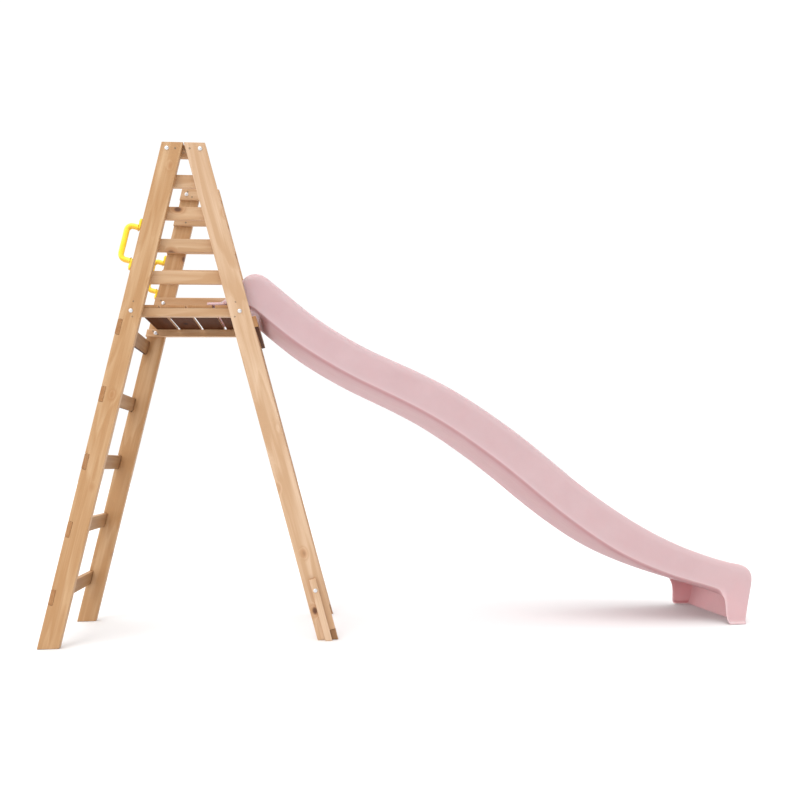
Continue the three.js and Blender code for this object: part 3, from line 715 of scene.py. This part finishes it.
def plate(name, node, outline, y_low, y_high, ease, material):
    """A board drawn as an outline in the X-Z plane, with its edges eased."""
    count = len(outline)
    points = [(x, y_low, z) for x, z in outline] + [(x, y_high, z) for x, z in outline]
    faces = [list(range(count)), list(range(2 * count - 1, count - 1, -1))]
    for i in range(count):
        after = (i + 1) % count
        faces.append([i, after, count + after, count + i])
    piece = add_piece(name, outward(mesh_from(name, points, faces)), material)
    ease_edges(piece, ease)
    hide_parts(node)
    return piece


def leg_cut(low, high):
    """A leg's width measured level, from its box: the rest of the box's length is its lean."""
    return (high.x - low.x) - (high.z - low.z) * math.tan(LEAN)


def shifted(point, side, along, inward):
    """A point moved up a leg's slope, and square to it into the wood. side is -1 at the ladder."""
    x, z = point
    x += -side * (math.sin(LEAN) * along + math.cos(LEAN) * inward)
    z += math.cos(LEAN) * along - math.sin(LEAN) * inward
    return x, z


RUNGS = sorted(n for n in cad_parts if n.startswith("ladder_rung_"))


def rung_middles():
    middles = []
    for node in RUNGS:
        low, high = box_mm(node)
        middles.append(((low.x + high.x) / 2, (low.z + high.z) / 2))
    return middles


def ladder_leg_outline(low, high):
    """From the foot's inner corner, round the top, and down the edge that the rungs are let into."""
    cut = leg_cut(low, high)
    outline = [(low.x + cut, 0), (high.x, high.z), (high.x - cut, high.z)]
    half = RUNG_WIDTH / 2 + NOTCH_PLAY
    depth = RUNG_THICKNESS + NOTCH_PLAY
    for x, z in reversed(rung_middles()):
        edge = shifted((x, z), -1, 0, -RUNG_THICKNESS / 2)
        outline.append(shifted(edge, -1, half, 0))
        outline.append(shifted(edge, -1, half, depth))
        outline.append(shifted(edge, -1, -half, depth))
        outline.append(shifted(edge, -1, -half, 0))
    outline.append((low.x, 0))
    return outline


def slide_leg_outline(low, high):
    """Like the ladder leg, with its foot's outer corner notched for the anchor block."""
    block_high = box_mm("near_anchor_block")[1]
    outer_foot = block_high.x
    cut = high.z * math.tan(LEAN)
    top_outer = outer_foot - cut
    width = top_outer - low.x
    step_z = block_high.z + NOTCH_PLAY
    step_outer = outer_foot - step_z * math.tan(LEAN)
    step_inner = (
        step_outer - math.cos(LEAN) * ANCHOR_NOTCH_WIDTH,
        step_z - math.sin(LEAN) * ANCHOR_NOTCH_WIDTH,
    )
    step_foot = (step_inner[0] + step_inner[1] * math.tan(LEAN), 0)
    return [
        (outer_foot - width, 0),
        (low.x, high.z),
        (top_outer, high.z),
        (step_outer, step_z),
        step_inner,
        step_foot,
    ]


def cross_outline(low, high):
    """A level board with its ends cut to the legs' slope."""
    taper = (high.z - low.z) * math.tan(LEAN)
    return [(low.x, low.z), (high.x, low.z), (high.x - taper, high.z), (low.x + taper, high.z)]


def level_boards(side):
    """The nodes of one side's boards that run level between its legs."""
    return [f"{side}_apex_cleat", f"{side}_deck_bearer"] + [f"{side}_rail_{i}" for i in range(1, 5)]


for side in ("near", "far"):
    node = f"{side}_ladder_leg"
    low, high = box_mm(node)
    plate(f"{node}_board", node, ladder_leg_outline(low, high), low.y, high.y, LEG_EASE, ladder_timber)
    node = f"{side}_slide_leg"
    low, high = box_mm(node)
    plate(f"{node}_board", node, slide_leg_outline(low, high), low.y, high.y, LEG_EASE, slide_side_timber)
    for node in level_boards(side):
        low, high = box_mm(node)
        plate(f"{node}_board", node, cross_outline(low, high), low.y, high.y, BOARD_EASE, level_timber)


def plank(name, node, size, place, ease, material):
    """A straight plank of a size, turned and moved to its place."""
    half = [s / 2 for s in size]
    corners = [
        (x * half[0], y * half[1], z * half[2])
        for x in (-1, 1)
        for y in (-1, 1)
        for z in (-1, 1)
    ]
    faces = [(0, 1, 3, 2), (4, 6, 7, 5), (0, 4, 5, 1), (2, 3, 7, 6), (0, 2, 6, 4), (1, 5, 7, 3)]
    mesh = outward(mesh_from(name, corners, faces))
    mesh.transform(place)
    piece = add_piece(name, mesh, material)
    ease_edges(piece, ease)
    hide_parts(node)
    return piece


def middle(node):
    low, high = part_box(node)
    return (low + high) / 2


for node in RUNGS:
    low, high = box_mm(node)
    size = (RUNG_THICKNESS, high.y - low.y, RUNG_WIDTH)
    place = Matrix.Translation(middle(node)) @ Matrix.Rotation(LEAN, 4, "Y")
    plank(f"{node}_plank", node, size, place, BOARD_EASE, cross_timber)

low, high = box_mm("front_cross_board")
size = (FRONT_BOARD_THICKNESS, high.y - low.y, FRONT_BOARD_WIDTH)
place = Matrix.Translation(middle("front_cross_board")) @ Matrix.Rotation(-LEAN, 4, "Y")
plank("front_cross_board_plank", "front_cross_board", size, place, BOARD_EASE, cross_timber)

SLATS = sorted(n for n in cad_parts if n.startswith("deck_slat_"))
for node in SLATS:
    low, high = box_mm(node)
    plank(f"{node}_plank", node, high - low, Matrix.Translation(middle(node)), SLAT_EASE, cross_timber)

for side in ("near", "far"):
    node = f"{side}_anchor_strip"
    low, high = box_mm(node)
    outer_top = high.x - high.z * math.tan(LEAN)
    outline = [
        (high.x - ANCHOR_STRIP_WIDTH / math.cos(LEAN), 0),
        (high.x, 0),
        (outer_top, high.z),
        (
            outer_top - ANCHOR_STRIP_WIDTH * math.cos(LEAN),
            high.z - ANCHOR_STRIP_WIDTH * math.sin(LEAN),
        ),
    ]
    plate(f"{node}_batten", node, outline, low.y, high.y, BOARD_EASE, slide_side_timber)
    node = f"{side}_anchor_block"
    low, high = box_mm(node)
    outer_top = high.x - high.z * math.tan(LEAN)
    inner = (
        outer_top - math.cos(LEAN) * ANCHOR_BLOCK_WIDTH,
        high.z - math.sin(LEAN) * ANCHOR_BLOCK_WIDTH,
    )
    outline = [(inner[0] + inner[1] * math.tan(LEAN), 0), (high.x, 0), (outer_top, high.z), inner]
    plate(f"{node}_wood", node, outline, low.y, high.y, BOARD_EASE, block_timber)


# ------------------------------------------------------------------ bolts, nuts and screws


def turned(name, profile, place, steps):
    """A turned shape: a profile of (radius, height) from top to bottom, spun round Z and placed."""
    mesh = mesh_from(name, [(r, 0, z) for r, z in profile], [])
    mesh.edges.add(len(profile) - 1)
    mesh.edges.foreach_set("vertices", [v for i in range(len(profile) - 1) for v in (i, i + 1)])

    def spin(holder):
        screw = holder.modifiers.new("turned", "SCREW")
        screw.steps = steps
        screw.render_steps = steps
        screw.use_merge_vertices = True
        screw.merge_threshold = 0.00002
        screw.use_smooth_shade = True

    return finished_mesh(name, mesh, spin, place)


def hexagon(name, radius, height, bore, place):
    """A hexagonal nut with eased corners."""
    points = []
    for z in (0, height):
        for reach in (radius, bore):
            for i in range(6):
                angle = math.tau * i / 6
                points.append((reach * math.cos(angle), reach * math.sin(angle), z))
    faces = []
    for i in range(6):
        after = (i + 1) % 6
        faces.append((i, after, 6 + after, 6 + i))
        faces.append((12 + i, 12 + after, 18 + after, 18 + i))
        faces.append((i, after, 12 + after, 12 + i))
        faces.append((6 + i, 6 + after, 18 + after, 18 + i))
    mesh = outward(mesh_from(name, points, faces))
    return finished_mesh(name, mesh, lambda holder: ease_edges(holder, 0.7, 2), place)


def dome_profile(radius, height, shank):
    """A mushroom head's profile, from its top to its seat."""
    profile = [(0.0, height)]
    for i in range(1, 7):
        angle = QUARTER * i / 6
        rise = BOLT_HEAD_RIM + (1 - BOLT_HEAD_RIM) * math.cos(angle)
        profile.append((radius * math.sin(angle), height * rise))
    return profile + [(radius * BOLT_HEAD_SEAT, 0.0), (shank, 0.0)]


def bolt(node, with_nut):
    """A mushroom-head bolt with its washer and nut, or a coach screw driven from the inside."""
    low, high = box_mm(node)
    x = (low.x + high.x) / 2
    z = (low.z + high.z) / 2
    outside = 1 if high.y + low.y > 0 else -1
    facing = outside if with_nut else -outside
    seat = (high.y if facing > 0 else low.y) - facing * BOLT_HEAD_HEIGHT
    turn = Matrix.Rotation(-facing * QUARTER, 4, "X")
    place = Matrix.Translation(Vector((x, seat, z)) * MM) @ turn
    end = abs(seat - (low.y if facing > 0 else high.y))
    head = dome_profile(BOLT_HEAD_RADIUS, BOLT_HEAD_HEIGHT, BOLT_RADIUS)
    shank = head + [(BOLT_RADIUS, -end + BOLT_CHAMFER), (BOLT_RADIUS - BOLT_CHAMFER, -end), (0.0, -end)]
    meshes = [turned(f"{node}_shank", shank, place, 28)]
    if with_nut:
        nut_bottom = -end + PAST_NUT
        lift = Matrix.Translation((0, 0, (nut_bottom + NUT_HEIGHT) * MM))
        drop = Matrix.Translation((0, 0, nut_bottom * MM))
        meshes.append(turned(f"{node}_washer", WASHER, place @ lift, 24))
        meshes.append(hexagon(f"{node}_nut", NUT_RADIUS, NUT_HEIGHT, NUT_BORE, place @ drop))
    piece = add_piece(f"{node}_fixing", joined(node, meshes), bolt_zinc)
    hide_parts(node)


for node in sorted(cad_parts):
    if "bolt" in node or "coach" in node:
        bolt(node, "bolt" in node)


def upright_to(direction):
    """The turn that takes +Z to a direction."""
    return Vector(direction).to_track_quat("Z", "Y").to_matrix().to_4x4()


def pan_head_screw(node, place):
    mesh = turned(node, PAN_HEAD_SCREW, place, 16)
    piece = add_piece(f"{node}_turned", mesh, bolt_zinc)
    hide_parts(node)


def screw_head(name, place, facing, radius):
    """A countersunk screw's head with a sunk socket, its top towards facing."""
    profile = [
        (0.0, -1.4),
        (radius * 0.34, -1.4),
        (radius * 0.42, SCREW_PROUD - 0.1),
        (radius * 0.5, SCREW_PROUD),
        (radius * 0.93, SCREW_PROUD - 0.05),
        (radius, SCREW_PROUD - 0.3),
        (radius * 0.5, -2.5),
        (0.0, -2.5),
    ]
    return turned(name, profile, Matrix.Translation(Vector(place) * MM) @ upright_to(facing), 14)


def add_screws(name, places, radius=SCREW_HEAD_RADIUS):
    """A set of small screws, each given as (place, facing)."""
    heads = [screw_head(f"{name}_{i}", place, facing, radius) for i, (place, facing) in enumerate(places)]
    add_piece(name, joined(name, heads), screw_zinc)


def leg_outer(z):
    """A leg's outer edge at a height, from the middle of the tower."""
    low, _ = box_mm("near_ladder_leg")
    return TOWER_X - low.x - z * math.tan(LEAN)


LEG_MIDDLE = LEG_WIDTH / 2 / math.cos(LEAN)  # from a leg's outer edge to its middle, measured level
leg_low, leg_high = box_mm("far_ladder_leg")
OUTER_FACE = leg_high.y
INNER_FACE = leg_low.y
LEG_CENTRE_Y = (OUTER_FACE + INNER_FACE) / 2

apex_screws = []
for facing in (-1, 1):
    for x in APEX_SCREW_X:
        place = (TOWER_X + x, facing * OUTER_FACE, TOWER_HEIGHT - APEX_SCREW_DROP)
        apex_screws.append((place, (0, facing, 0)))
add_screws("apex_screws", apex_screws)

rail_screws = []
for side, facing in (("near", -1), ("far", 1)):
    for board in level_boards(side):
        low, high = box_mm(board)
        inside = low.y if facing > 0 else high.y
        for end in (-1, 1):
            for lift, inset in RAIL_SCREWS:
                z = low.z + (high.z - low.z) * lift
                x = TOWER_X + end * (leg_outer(z) - LEG_MIDDLE + inset)
                rail_screws.append(((x, inside, z), (0, -facing, 0)))
add_screws("rail_screws", rail_screws)


def cross_board_screws(x, z, side, spread, thickness):
    """The screws of a board across two legs, two at each end, spread along the legs' slope."""
    outward_face = (side * math.cos(LEAN), 0, math.sin(LEAN))
    screws = []
    for y in (-LEG_CENTRE_Y, LEG_CENTRE_Y):
        for along in (-spread, spread):
            screw_x, screw_z = shifted((x, z), side, along, -thickness / 2)
            screws.append(((screw_x, y, screw_z), outward_face))
    return screws


rung_screws = []
for x, z in rung_middles():
    rung_screws += cross_board_screws(x, z, -1, RUNG_SCREW_SPREAD, RUNG_THICKNESS)
add_screws("rung_screws", rung_screws)

deck_screws = []
for node in SLATS[:-1]:
    low, high = box_mm(node)
    for y in (low.y + DECK_SCREW_Y, high.y - DECK_SCREW_Y):
        for x in (low.x + DECK_SCREW_X, high.x - DECK_SCREW_X):
            deck_screws.append(((x, y, high.z), (0, 0, 1)))
add_screws("deck_screws", deck_screws)

front = middle("front_cross_board") / MM
front_screws = cross_board_screws(front.x, front.z, 1, FRONT_SCREW_SPREAD, FRONT_BOARD_THICKNESS)
add_screws("front_board_screws", front_screws)

leg_screws = []
for facing in (-1, 1):
    for x, z in LEG_SCREWS:
        leg_screws.append(((TOWER_X + x, facing * OUTER_FACE, z), (0, facing, 0)))
add_screws("leg_screws", leg_screws, LEG_SCREW_HEAD_RADIUS)



# ------------------------------------------------------------------ grab handles


def handle_path():
    """The handle's centreline, from its top root to its bottom root, as (outward, up) points."""
    out = HANDLE_REACH
    span = HANDLE_HALF_SPAN
    corner = HANDLE_CORNER
    path = [(HANDLE_ROOT, span)]
    for centre_up, start in ((span - corner, QUARTER), (corner - span, 0.0)):
        for i in range(9):
            angle = start - QUARTER * i / 8
            path.append((out - corner + corner * math.cos(angle), centre_up + corner * math.sin(angle)))
    return path + [(HANDLE_ROOT, -span)]


def handle_tube(name, place):
    """The bent tube, as a curve with a round bevel, turned to a mesh at its place."""
    curve = bpy.data.curves.new(name, "CURVE")
    curve.dimensions = "3D"
    curve.bevel_depth = HANDLE_TUBE_RADIUS * MM
    curve.bevel_resolution = 8
    curve.use_fill_caps = True
    path = handle_path()
    spline = curve.splines.new("POLY")
    spline.points.add(len(path) - 1)
    for point, (out, up) in zip(spline.points, path):
        point.co = (-out * MM, 0, up * MM, 1)
    made = baked(bpy.data.objects.new(name, curve), place)
    bpy.data.curves.remove(curve)
    return smooth(made)


def lug(name, up, place):
    """A round-ended foot with a domed top. It lies on the leg's edge."""
    half = LUG_WIDTH / 2
    straight = LUG_LENGTH / 2 - half
    outline = []
    for start, centre in ((0, straight), (math.pi, -straight)):
        for i in range(9):
            angle = start + math.pi * i / 8
            outline.append((half * math.cos(angle), centre + half * math.sin(angle)))
    count = len(outline)
    points = [(-LUG_GAP, y, up + z) for y, z in outline] + [(-LUG_THICKNESS, y, up + z) for y, z in outline]
    faces = [list(range(count)), list(range(count, 2 * count))]
    faces += [(i, (i + 1) % count, count + (i + 1) % count, count + i) for i in range(count)]
    mesh = outward(mesh_from(name, points, faces))
    return smooth(finished_mesh(name, mesh, lambda holder: ease_edges(holder, LUG_ROUNDING, 5, 50), place))


def collar(name, up, place):
    """The flared root where the tube grows out of its foot."""
    profile = []
    for i in range(6):
        angle = QUARTER * i / 5
        flare = COLLAR_FLARE * (1 - math.sin(angle))
        rise = COLLAR_RISE * (1 - math.cos(angle))
        profile.append((HANDLE_TUBE_RADIUS + flare, LUG_THICKNESS - COLLAR_SUNK + rise))
    profile.reverse()
    stand = Matrix.Translation((0, 0, up * MM)) @ Matrix.Rotation(-QUARTER, 4, "Y")
    return turned(name, profile, place @ stand, 28)


for side, facing in (("near", -1), ("far", 1)):
    node = f"{side}_grab_handle"
    low, high = box_mm(node)
    seat = Vector((TOWER_X - leg_outer(HANDLE_CENTRE), (low.y + high.y) / 2, HANDLE_CENTRE)) * MM
    place = Matrix.Translation(seat) @ Matrix.Rotation(LEAN, 4, "Y")
    lug_up = HANDLE_HALF_SPAN - HANDLE_TUBE_RADIUS + LUG_LENGTH / 2
    meshes = [handle_tube(f"{side}_grip", place)]
    for end, word in ((1, "top"), (-1, "bottom")):
        meshes.append(lug(f"{side}_foot_{word}", end * lug_up, place))
        meshes.append(collar(f"{side}_collar_{word}", end * HANDLE_HALF_SPAN, place))
    handle = add_piece(f"{side}_handle", joined(node, meshes), handle_yellow)
    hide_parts(node)
    for word in ("top", "bottom"):
        screw_node = f"{side}_handle_screw_{word}"
        out = Vector((-math.cos(LEAN), 0, math.sin(LEAN)))
        seat = middle(screw_node) / MM + out * HANDLE_SCREW_SEAT
        pan_head_screw(screw_node, Matrix.Translation(seat * MM) @ upright_to(out))


# ------------------------------------------------------------------ the slide

DECK_TOP = box_mm(SLATS[0])[1].z + SLIDE_DECK_GAP

# Each station is (base x, base z, rim x, rim z, bed height), measured from the middle of the tower.
ENTRY_STATIONS = [
    (86, DECK_TOP, 86, DECK_TOP + 12, 7),
    (118, DECK_TOP, 118, DECK_TOP + 12, 7),
    (150, DECK_TOP, 150, DECK_TOP + 13, 7),
    (162, DECK_TOP, 161, DECK_TOP + 20, 7),
    (185, DECK_TOP, 184, DECK_TOP + 45, 7),
    (214, DECK_TOP, 214, DECK_TOP + 78, 7),
    (240, DECK_TOP, 241, 1611, 7),
    (256, 1496, 262, 1633, 10),
    (268, 1490, 284, 1644, 12),
    (280, 1485, 306, 1647, 11),
    (292, 1478, 334, 1641, 9),
    (306, 1468, 364, 1619, 7),
]
# The underside's line along the waves, as (x, z, wall height).
WAVES = [
    (335, 1441, 154),
    (500, 1310, 153),
    (720, 1177, 153),
    (960, 1060, 160),
    (1160, 949, 165),
    (1420, 764, 168),
    (1700, 531, 169),
    (1960, 349, 170),
    (2200, 238, 155),
    (2400, 174, 143),
]
EXIT_STATIONS = [
    (2440, 161, 2478, 300, 6),
    (2468, 149, 2503, 293, 11),
    (2484, 134, 2515, 290, 24),
    (2492, 115, 2521, 288, 42),
    (2496, 85, 2525, 287, 72),
    (2498, 50, 2528, 286, 106),
    (2500, 0, 2531, 285, 156),
    (2530, 0, 2562, 279, 154),
    (2550, 0, 2584, 274, 150),
    (2564, 0, 2602, 267, 142),
    (2575, 0, 2616, 257, 129),
    (2582, 0, 2626, 241, 110),
    (2585, 0, 2630, 219, 88),
]
CLOSED_EXITS = 2  # the exit stations up to where the closed underside stops
FOOT_START = 6  # the first exit station that stands on the ground
END_WALL_TOP = 5  # how many of a skirt's points lie under the end wall's top line


def wave_stations():
    """Stations at even steps on a smooth curve through the waves' points."""
    points = [Vector(p) for p in WAVES]
    ends = [2 * points[0] - points[1], *points, 2 * points[-1] - points[-2]]
    stations = []
    for i in range(SLIDE_STATIONS):
        t = i / (SLIDE_STATIONS - 1) * (len(points) - 1)
        k = min(int(t), len(points) - 2)
        u = t - k
        a, b, c, d = ends[k : k + 4]
        bend = 2 * a - 5 * b + 4 * c - d
        swing = 3 * b - a - 3 * c + d
        x, z, height = 0.5 * (2 * b + (c - a) * u + bend * u**2 + swing * u**3)
        slope = 0.5 * ((c - a) + 2 * bend * u + 3 * swing * u**2)
        run = Vector((slope.x, slope.y)).normalized()
        stations.append((x, z, x - run.y * height, z + run.x * height, SLIDE_BED_HEIGHT))
    return stations


def lower_edge(kind):
    """A skirt's lowest points, as (across, up, painted highlight and wear): a closed underside's crease or
    a foot's flange.
    """
    if kind == "closed":
        return [
            (SLIDE_HALF_WIDTH - 2 * SLIDE_CREASE, 0, 0.0),
            (SLIDE_HALF_WIDTH - 5.5, SLIDE_CREASE - 4.5, 0.0),
            (SLIDE_HALF_WIDTH - 0.4, SLIDE_CREASE - 0.5, 0.9),
            (SLIDE_HALF_WIDTH, SLIDE_CREASE + 3.5, 0.3),
        ]
    if kind == "wall":
        return [(SLIDE_HALF_WIDTH, up, 0.6) for up in (0, 1.5, 4, 8)]
    reach = SLIDE_HALF_WIDTH + FOOT_FLANGE
    return [(reach, 0, 1.0), (reach, 4, 0.9), (reach, 8, 0.8), (SLIDE_HALF_WIDTH + 0.6, 10.5, 0.1)]


def half_section(height, bed, kind):
    """From the bottom up the skirt, over the rim and down to the bed's middle."""
    radius = min(SLIDE_RIM_RADIUS, RIM_SHARE * height)
    skirt = SLIDE_HALF_WIDTH
    rim_low = height - radius
    fillet = min(SLIDE_BED_FILLET, FILLET_SHARE * (rim_low - bed))
    flare = FLARE_SHARE * (rim_low - bed - fillet)
    fillet_centre = skirt - 2 * radius - flare - fillet
    edge_share = min(1, 0.3 * height / SLIDE_CREASE)
    points = [(y, up * edge_share, edge_highlight_and_wear) for y, up, edge_highlight_and_wear in lower_edge(kind)]
    top_of_edge = points[-1][1]
    for share in (0.35, 0.85):
        points.append((skirt, top_of_edge + share * (rim_low - top_of_edge), 0.0))
    swollen = radius * SUBDIVISION_SWELL
    for i in range(5):
        angle = math.pi * i / 4
        across = skirt - radius + math.cos(angle) * (radius if i in (0, 4) else swollen)
        points.append((across, rim_low + math.sin(angle) * swollen, 0.35))
    points.append((skirt - 2 * radius - 0.4 * flare, rim_low - 0.45 * (rim_low - bed - fillet), 0.05))
    for i in range(4):
        angle = -QUARTER * i / 3
        points.append(
            (fillet_centre + math.cos(angle) * fillet, bed + fillet + math.sin(angle) * fillet, 0.0)
        )
    points.append((0.5 * fillet_centre, bed, 0.0))
    points.append((0.0, bed, 0.0))
    return points


def edge_kind(index, exit_start):
    if index < exit_start + CLOSED_EXITS:
        return "closed"
    return "foot" if index >= exit_start + FOOT_START else "wall"


def skin_row(station, kind):
    """A station's points and their painted highlight and wear, from one skirt's bottom to the other's."""
    base_x, base_z, rim_x, rim_z, bed = station
    base = Vector((base_x, base_z))
    up = Vector((rim_x, rim_z)) - base
    height = up.length
    up.normalize()
    half = half_section(height, bed, kind)
    whole = half + [(-y, n, r) for y, n, r in reversed(half[:-1])]
    row = [(TOWER_X + base.x + up.x * n, y, base.y + up.y * n) for y, n, r in whole]
    return row, [r for y, n, r in whole]


def add_end_wall(points, values, faces, columns):
    """Hangs the end wall from the last station's top line. Its sides join the skirts' points."""
    last = len(points) - columns
    foot_x = points[last][0]
    top_line = [last + j for j in range(END_WALL_TOP, columns - END_WALL_TOP)]
    above = top_line
    for k in range(END_WALL_TOP - 1, -1, -1):
        level = [last + k]
        share = points[last + k][2] / points[last + END_WALL_TOP][2]
        for j in top_line[1:-1]:
            x, y, z = points[j]
            level.append(len(points))
            points.append((foot_x + (x - foot_x) * share, y, z * share))
            values.append(0.1)
        level.append(last + columns - 1 - k)
        for m in range(len(above) - 1):
            faces.append((above[m], level[m], level[m + 1], above[m + 1]))
        above = level


def slide_mesh():
    """The slide's outer skin as a grid of stations, closed under the waves and by its end wall."""
    exit_start = len(ENTRY_STATIONS) + SLIDE_STATIONS
    stations = [*ENTRY_STATIONS, *wave_stations(), *EXIT_STATIONS]
    points = []
    values = []
    for i, station in enumerate(stations):
        row, rubbed = skin_row(station, edge_kind(i, exit_start))
        points += row
        values += rubbed
    columns = len(row)
    faces = []
    for i in range(len(stations) - 1):
        closed = i + 1 < exit_start + CLOSED_EXITS
        for j in range(columns if closed else columns - 1):
            a = i * columns + j
            b = i * columns + (j + 1) % columns
            faces.append((a, a + columns, b + columns, b))
    add_end_wall(points, values, faces, columns)
    mesh = mesh_from("slide_skin", points, faces)
    # The painted highlight and rubbed wear, as a value at each point.
    attribute = mesh.attributes.new("rubbed", "FLOAT", "POINT")
    attribute.data.foreach_set("value", values)
    return mesh


slide = add_piece("slide_moulding", smooth(slide_mesh()), slide_pink)
wall = slide.modifiers.new("wall thickness", "SOLIDIFY")
wall.thickness = SLIDE_WALL * MM
wall.offset = -1
wall.use_even_offset = False
subdivision = slide.modifiers.new("smooth skin", "SUBSURF")
subdivision.levels = 2
subdivision.render_levels = 2
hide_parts("wave_slide")

for side in ("near", "far"):
    node = f"{side}_slide_screw"
    centre = middle(node) / MM
    seat = Vector((centre.x, centre.y, box_mm(node)[1].z - SLIDE_SCREW_SEAT))
    pan_head_screw(node, Matrix.Translation(seat * MM))


# ------------------------------------------------------------------ floor, light and camera

FLOOR_REACH = 4e4
FLOOR_DROP = 1
corners = [(-1, -1), (1, -1), (1, 1), (-1, 1)]
floor_points = [(x * FLOOR_REACH, y * FLOOR_REACH, -FLOOR_DROP) for x, y in corners]
floor_mesh = mesh_from("floor", floor_points, [(0, 1, 2, 3)])
floor = bpy.data.objects.new("floor", floor_mesh)
bpy.context.scene.collection.objects.link(floor)


def pale_floor():
    """Plain matt paint."""
    material = empty_material("pale_floor")
    tree = material.node_tree
    output = tree.nodes.new("ShaderNodeOutputMaterial")
    output.label = "floor surface"
    shader = tree.nodes.new("ShaderNodeBsdfPrincipled")
    shader.label = "pale matt paint"
    shader.inputs["Base Color"].default_value = (0.88, 0.88, 0.88, 1)
    shader.inputs["Roughness"].default_value = 0.9
    shader.inputs["Specular IOR Level"].default_value = 0.1
    tree.links.new(shader.outputs["BSDF"], output.inputs["Surface"])
    arrange(tree, {"finish": [shader, output]})
    return material


floor_mesh.materials.append(pale_floor())


def studio_world():
    """White light, brightest from the left and dimmer from the right and behind the viewer."""
    world = bpy.data.worlds.new("studio")
    world.use_nodes = True
    nodes = world.node_tree.nodes
    links = world.node_tree.links
    sky = nodes["Background"]
    sky.label = "studio light"
    direction = nodes.new("ShaderNodeTexCoord")
    direction.label = "direction looked in"
    parts = nodes.new("ShaderNodeSeparateXYZ")
    parts.label = "right, away and up"
    right_side = nodes.new("ShaderNodeMapRange")
    right_side.label = "dim on the right"
    right_side.interpolation_type = "SMOOTHSTEP"
    right_side.inputs["From Min"].default_value = 0.6
    right_side.inputs["From Max"].default_value = 0.95
    right_side.inputs["To Min"].default_value = 1.0
    right_side.inputs["To Max"].default_value = 0.8
    left_side = nodes.new("ShaderNodeMapRange")
    left_side.label = "bright on the left"
    left_side.interpolation_type = "SMOOTHSTEP"
    left_side.inputs["From Min"].default_value = -0.5
    left_side.inputs["From Max"].default_value = -0.75
    left_side.inputs["To Min"].default_value = 1.0
    left_side.inputs["To Max"].default_value = 2.0
    sides = nodes.new("ShaderNodeMath")
    sides.label = "left and right"
    sides.operation = "MULTIPLY"
    behind = nodes.new("ShaderNodeMapRange")
    behind.label = "less from behind the viewer"
    behind.interpolation_type = "SMOOTHSTEP"
    behind.inputs["From Min"].default_value = -0.3
    behind.inputs["From Max"].default_value = 0.3
    behind.inputs["To Min"].default_value = 0.86
    behind.inputs["To Max"].default_value = 1.03
    strength = nodes.new("ShaderNodeMath")
    strength.label = "light from here"
    strength.operation = "MULTIPLY"
    sky.inputs["Color"].default_value = (1.0, 1.0, 1.0, 1)
    links.new(direction.outputs["Generated"], parts.inputs["Vector"])
    links.new(parts.outputs["X"], right_side.inputs["Value"])
    links.new(parts.outputs["Y"], behind.inputs["Value"])
    links.new(parts.outputs["X"], left_side.inputs["Value"])
    links.new(right_side.outputs["Result"], sides.inputs[0])
    links.new(left_side.outputs["Result"], sides.inputs[1])
    links.new(sides.outputs["Value"], strength.inputs[0])
    links.new(behind.outputs["Result"], strength.inputs[1])
    links.new(strength.outputs["Value"], sky.inputs["Strength"])
    arrange(
        world.node_tree,
        {
            "light by direction": [direction, parts, right_side, left_side, sides, behind, strength],
            "studio": [sky, nodes["World Output"]],
        },
    )
    return world


bpy.context.scene.world = studio_world()


def add_sun(name, azimuth, elevation, strength, softness):
    """A soft lamp far away. azimuth 0 stands behind the camera and lights along +Y."""
    light = bpy.data.lights.new(name, "SUN")
    light.energy = strength
    light.angle = math.radians(softness)
    lamp = bpy.data.objects.new(name, light)
    lamp.rotation_euler = (math.radians(90 - elevation), 0, math.radians(azimuth))
    bpy.context.scene.collection.objects.link(lamp)


add_sun("key", azimuth=-28, elevation=52, strength=0.9, softness=35)
add_sun("top", azimuth=20, elevation=82, strength=0.7, softness=60)

CAMERA_FROM_TOWER = (501.3, -3445.3, 779.8)  # millimetres from the foot of the tower's middle
CAMERA_YAW = -4.585
CAMERA_PITCH = 0.068
CAMERA_ROLL = -0.780
CAMERA_LENS = 32.40
CAMERA_SHIFT = (0.0431, 0.0910)

camera_data = bpy.data.cameras.new("camera")
camera_data.lens = CAMERA_LENS
camera_data.sensor_width = 36
camera_data.shift_x, camera_data.shift_y = CAMERA_SHIFT
camera = bpy.data.objects.new("camera", camera_data)
bpy.context.scene.collection.objects.link(camera)
aim = Euler((QUARTER + math.radians(CAMERA_PITCH), 0, math.radians(CAMERA_YAW))).to_matrix()
aim = aim @ Matrix.Rotation(math.radians(CAMERA_ROLL), 3, "Z")
x, y, z = CAMERA_FROM_TOWER
camera.matrix_world = Matrix.Translation(Vector((TOWER_X + x, y, z)) * MM) @ aim.to_4x4()
bpy.context.scene.camera = camera
bpy.context.scene.view_settings.view_transform = "Standard"
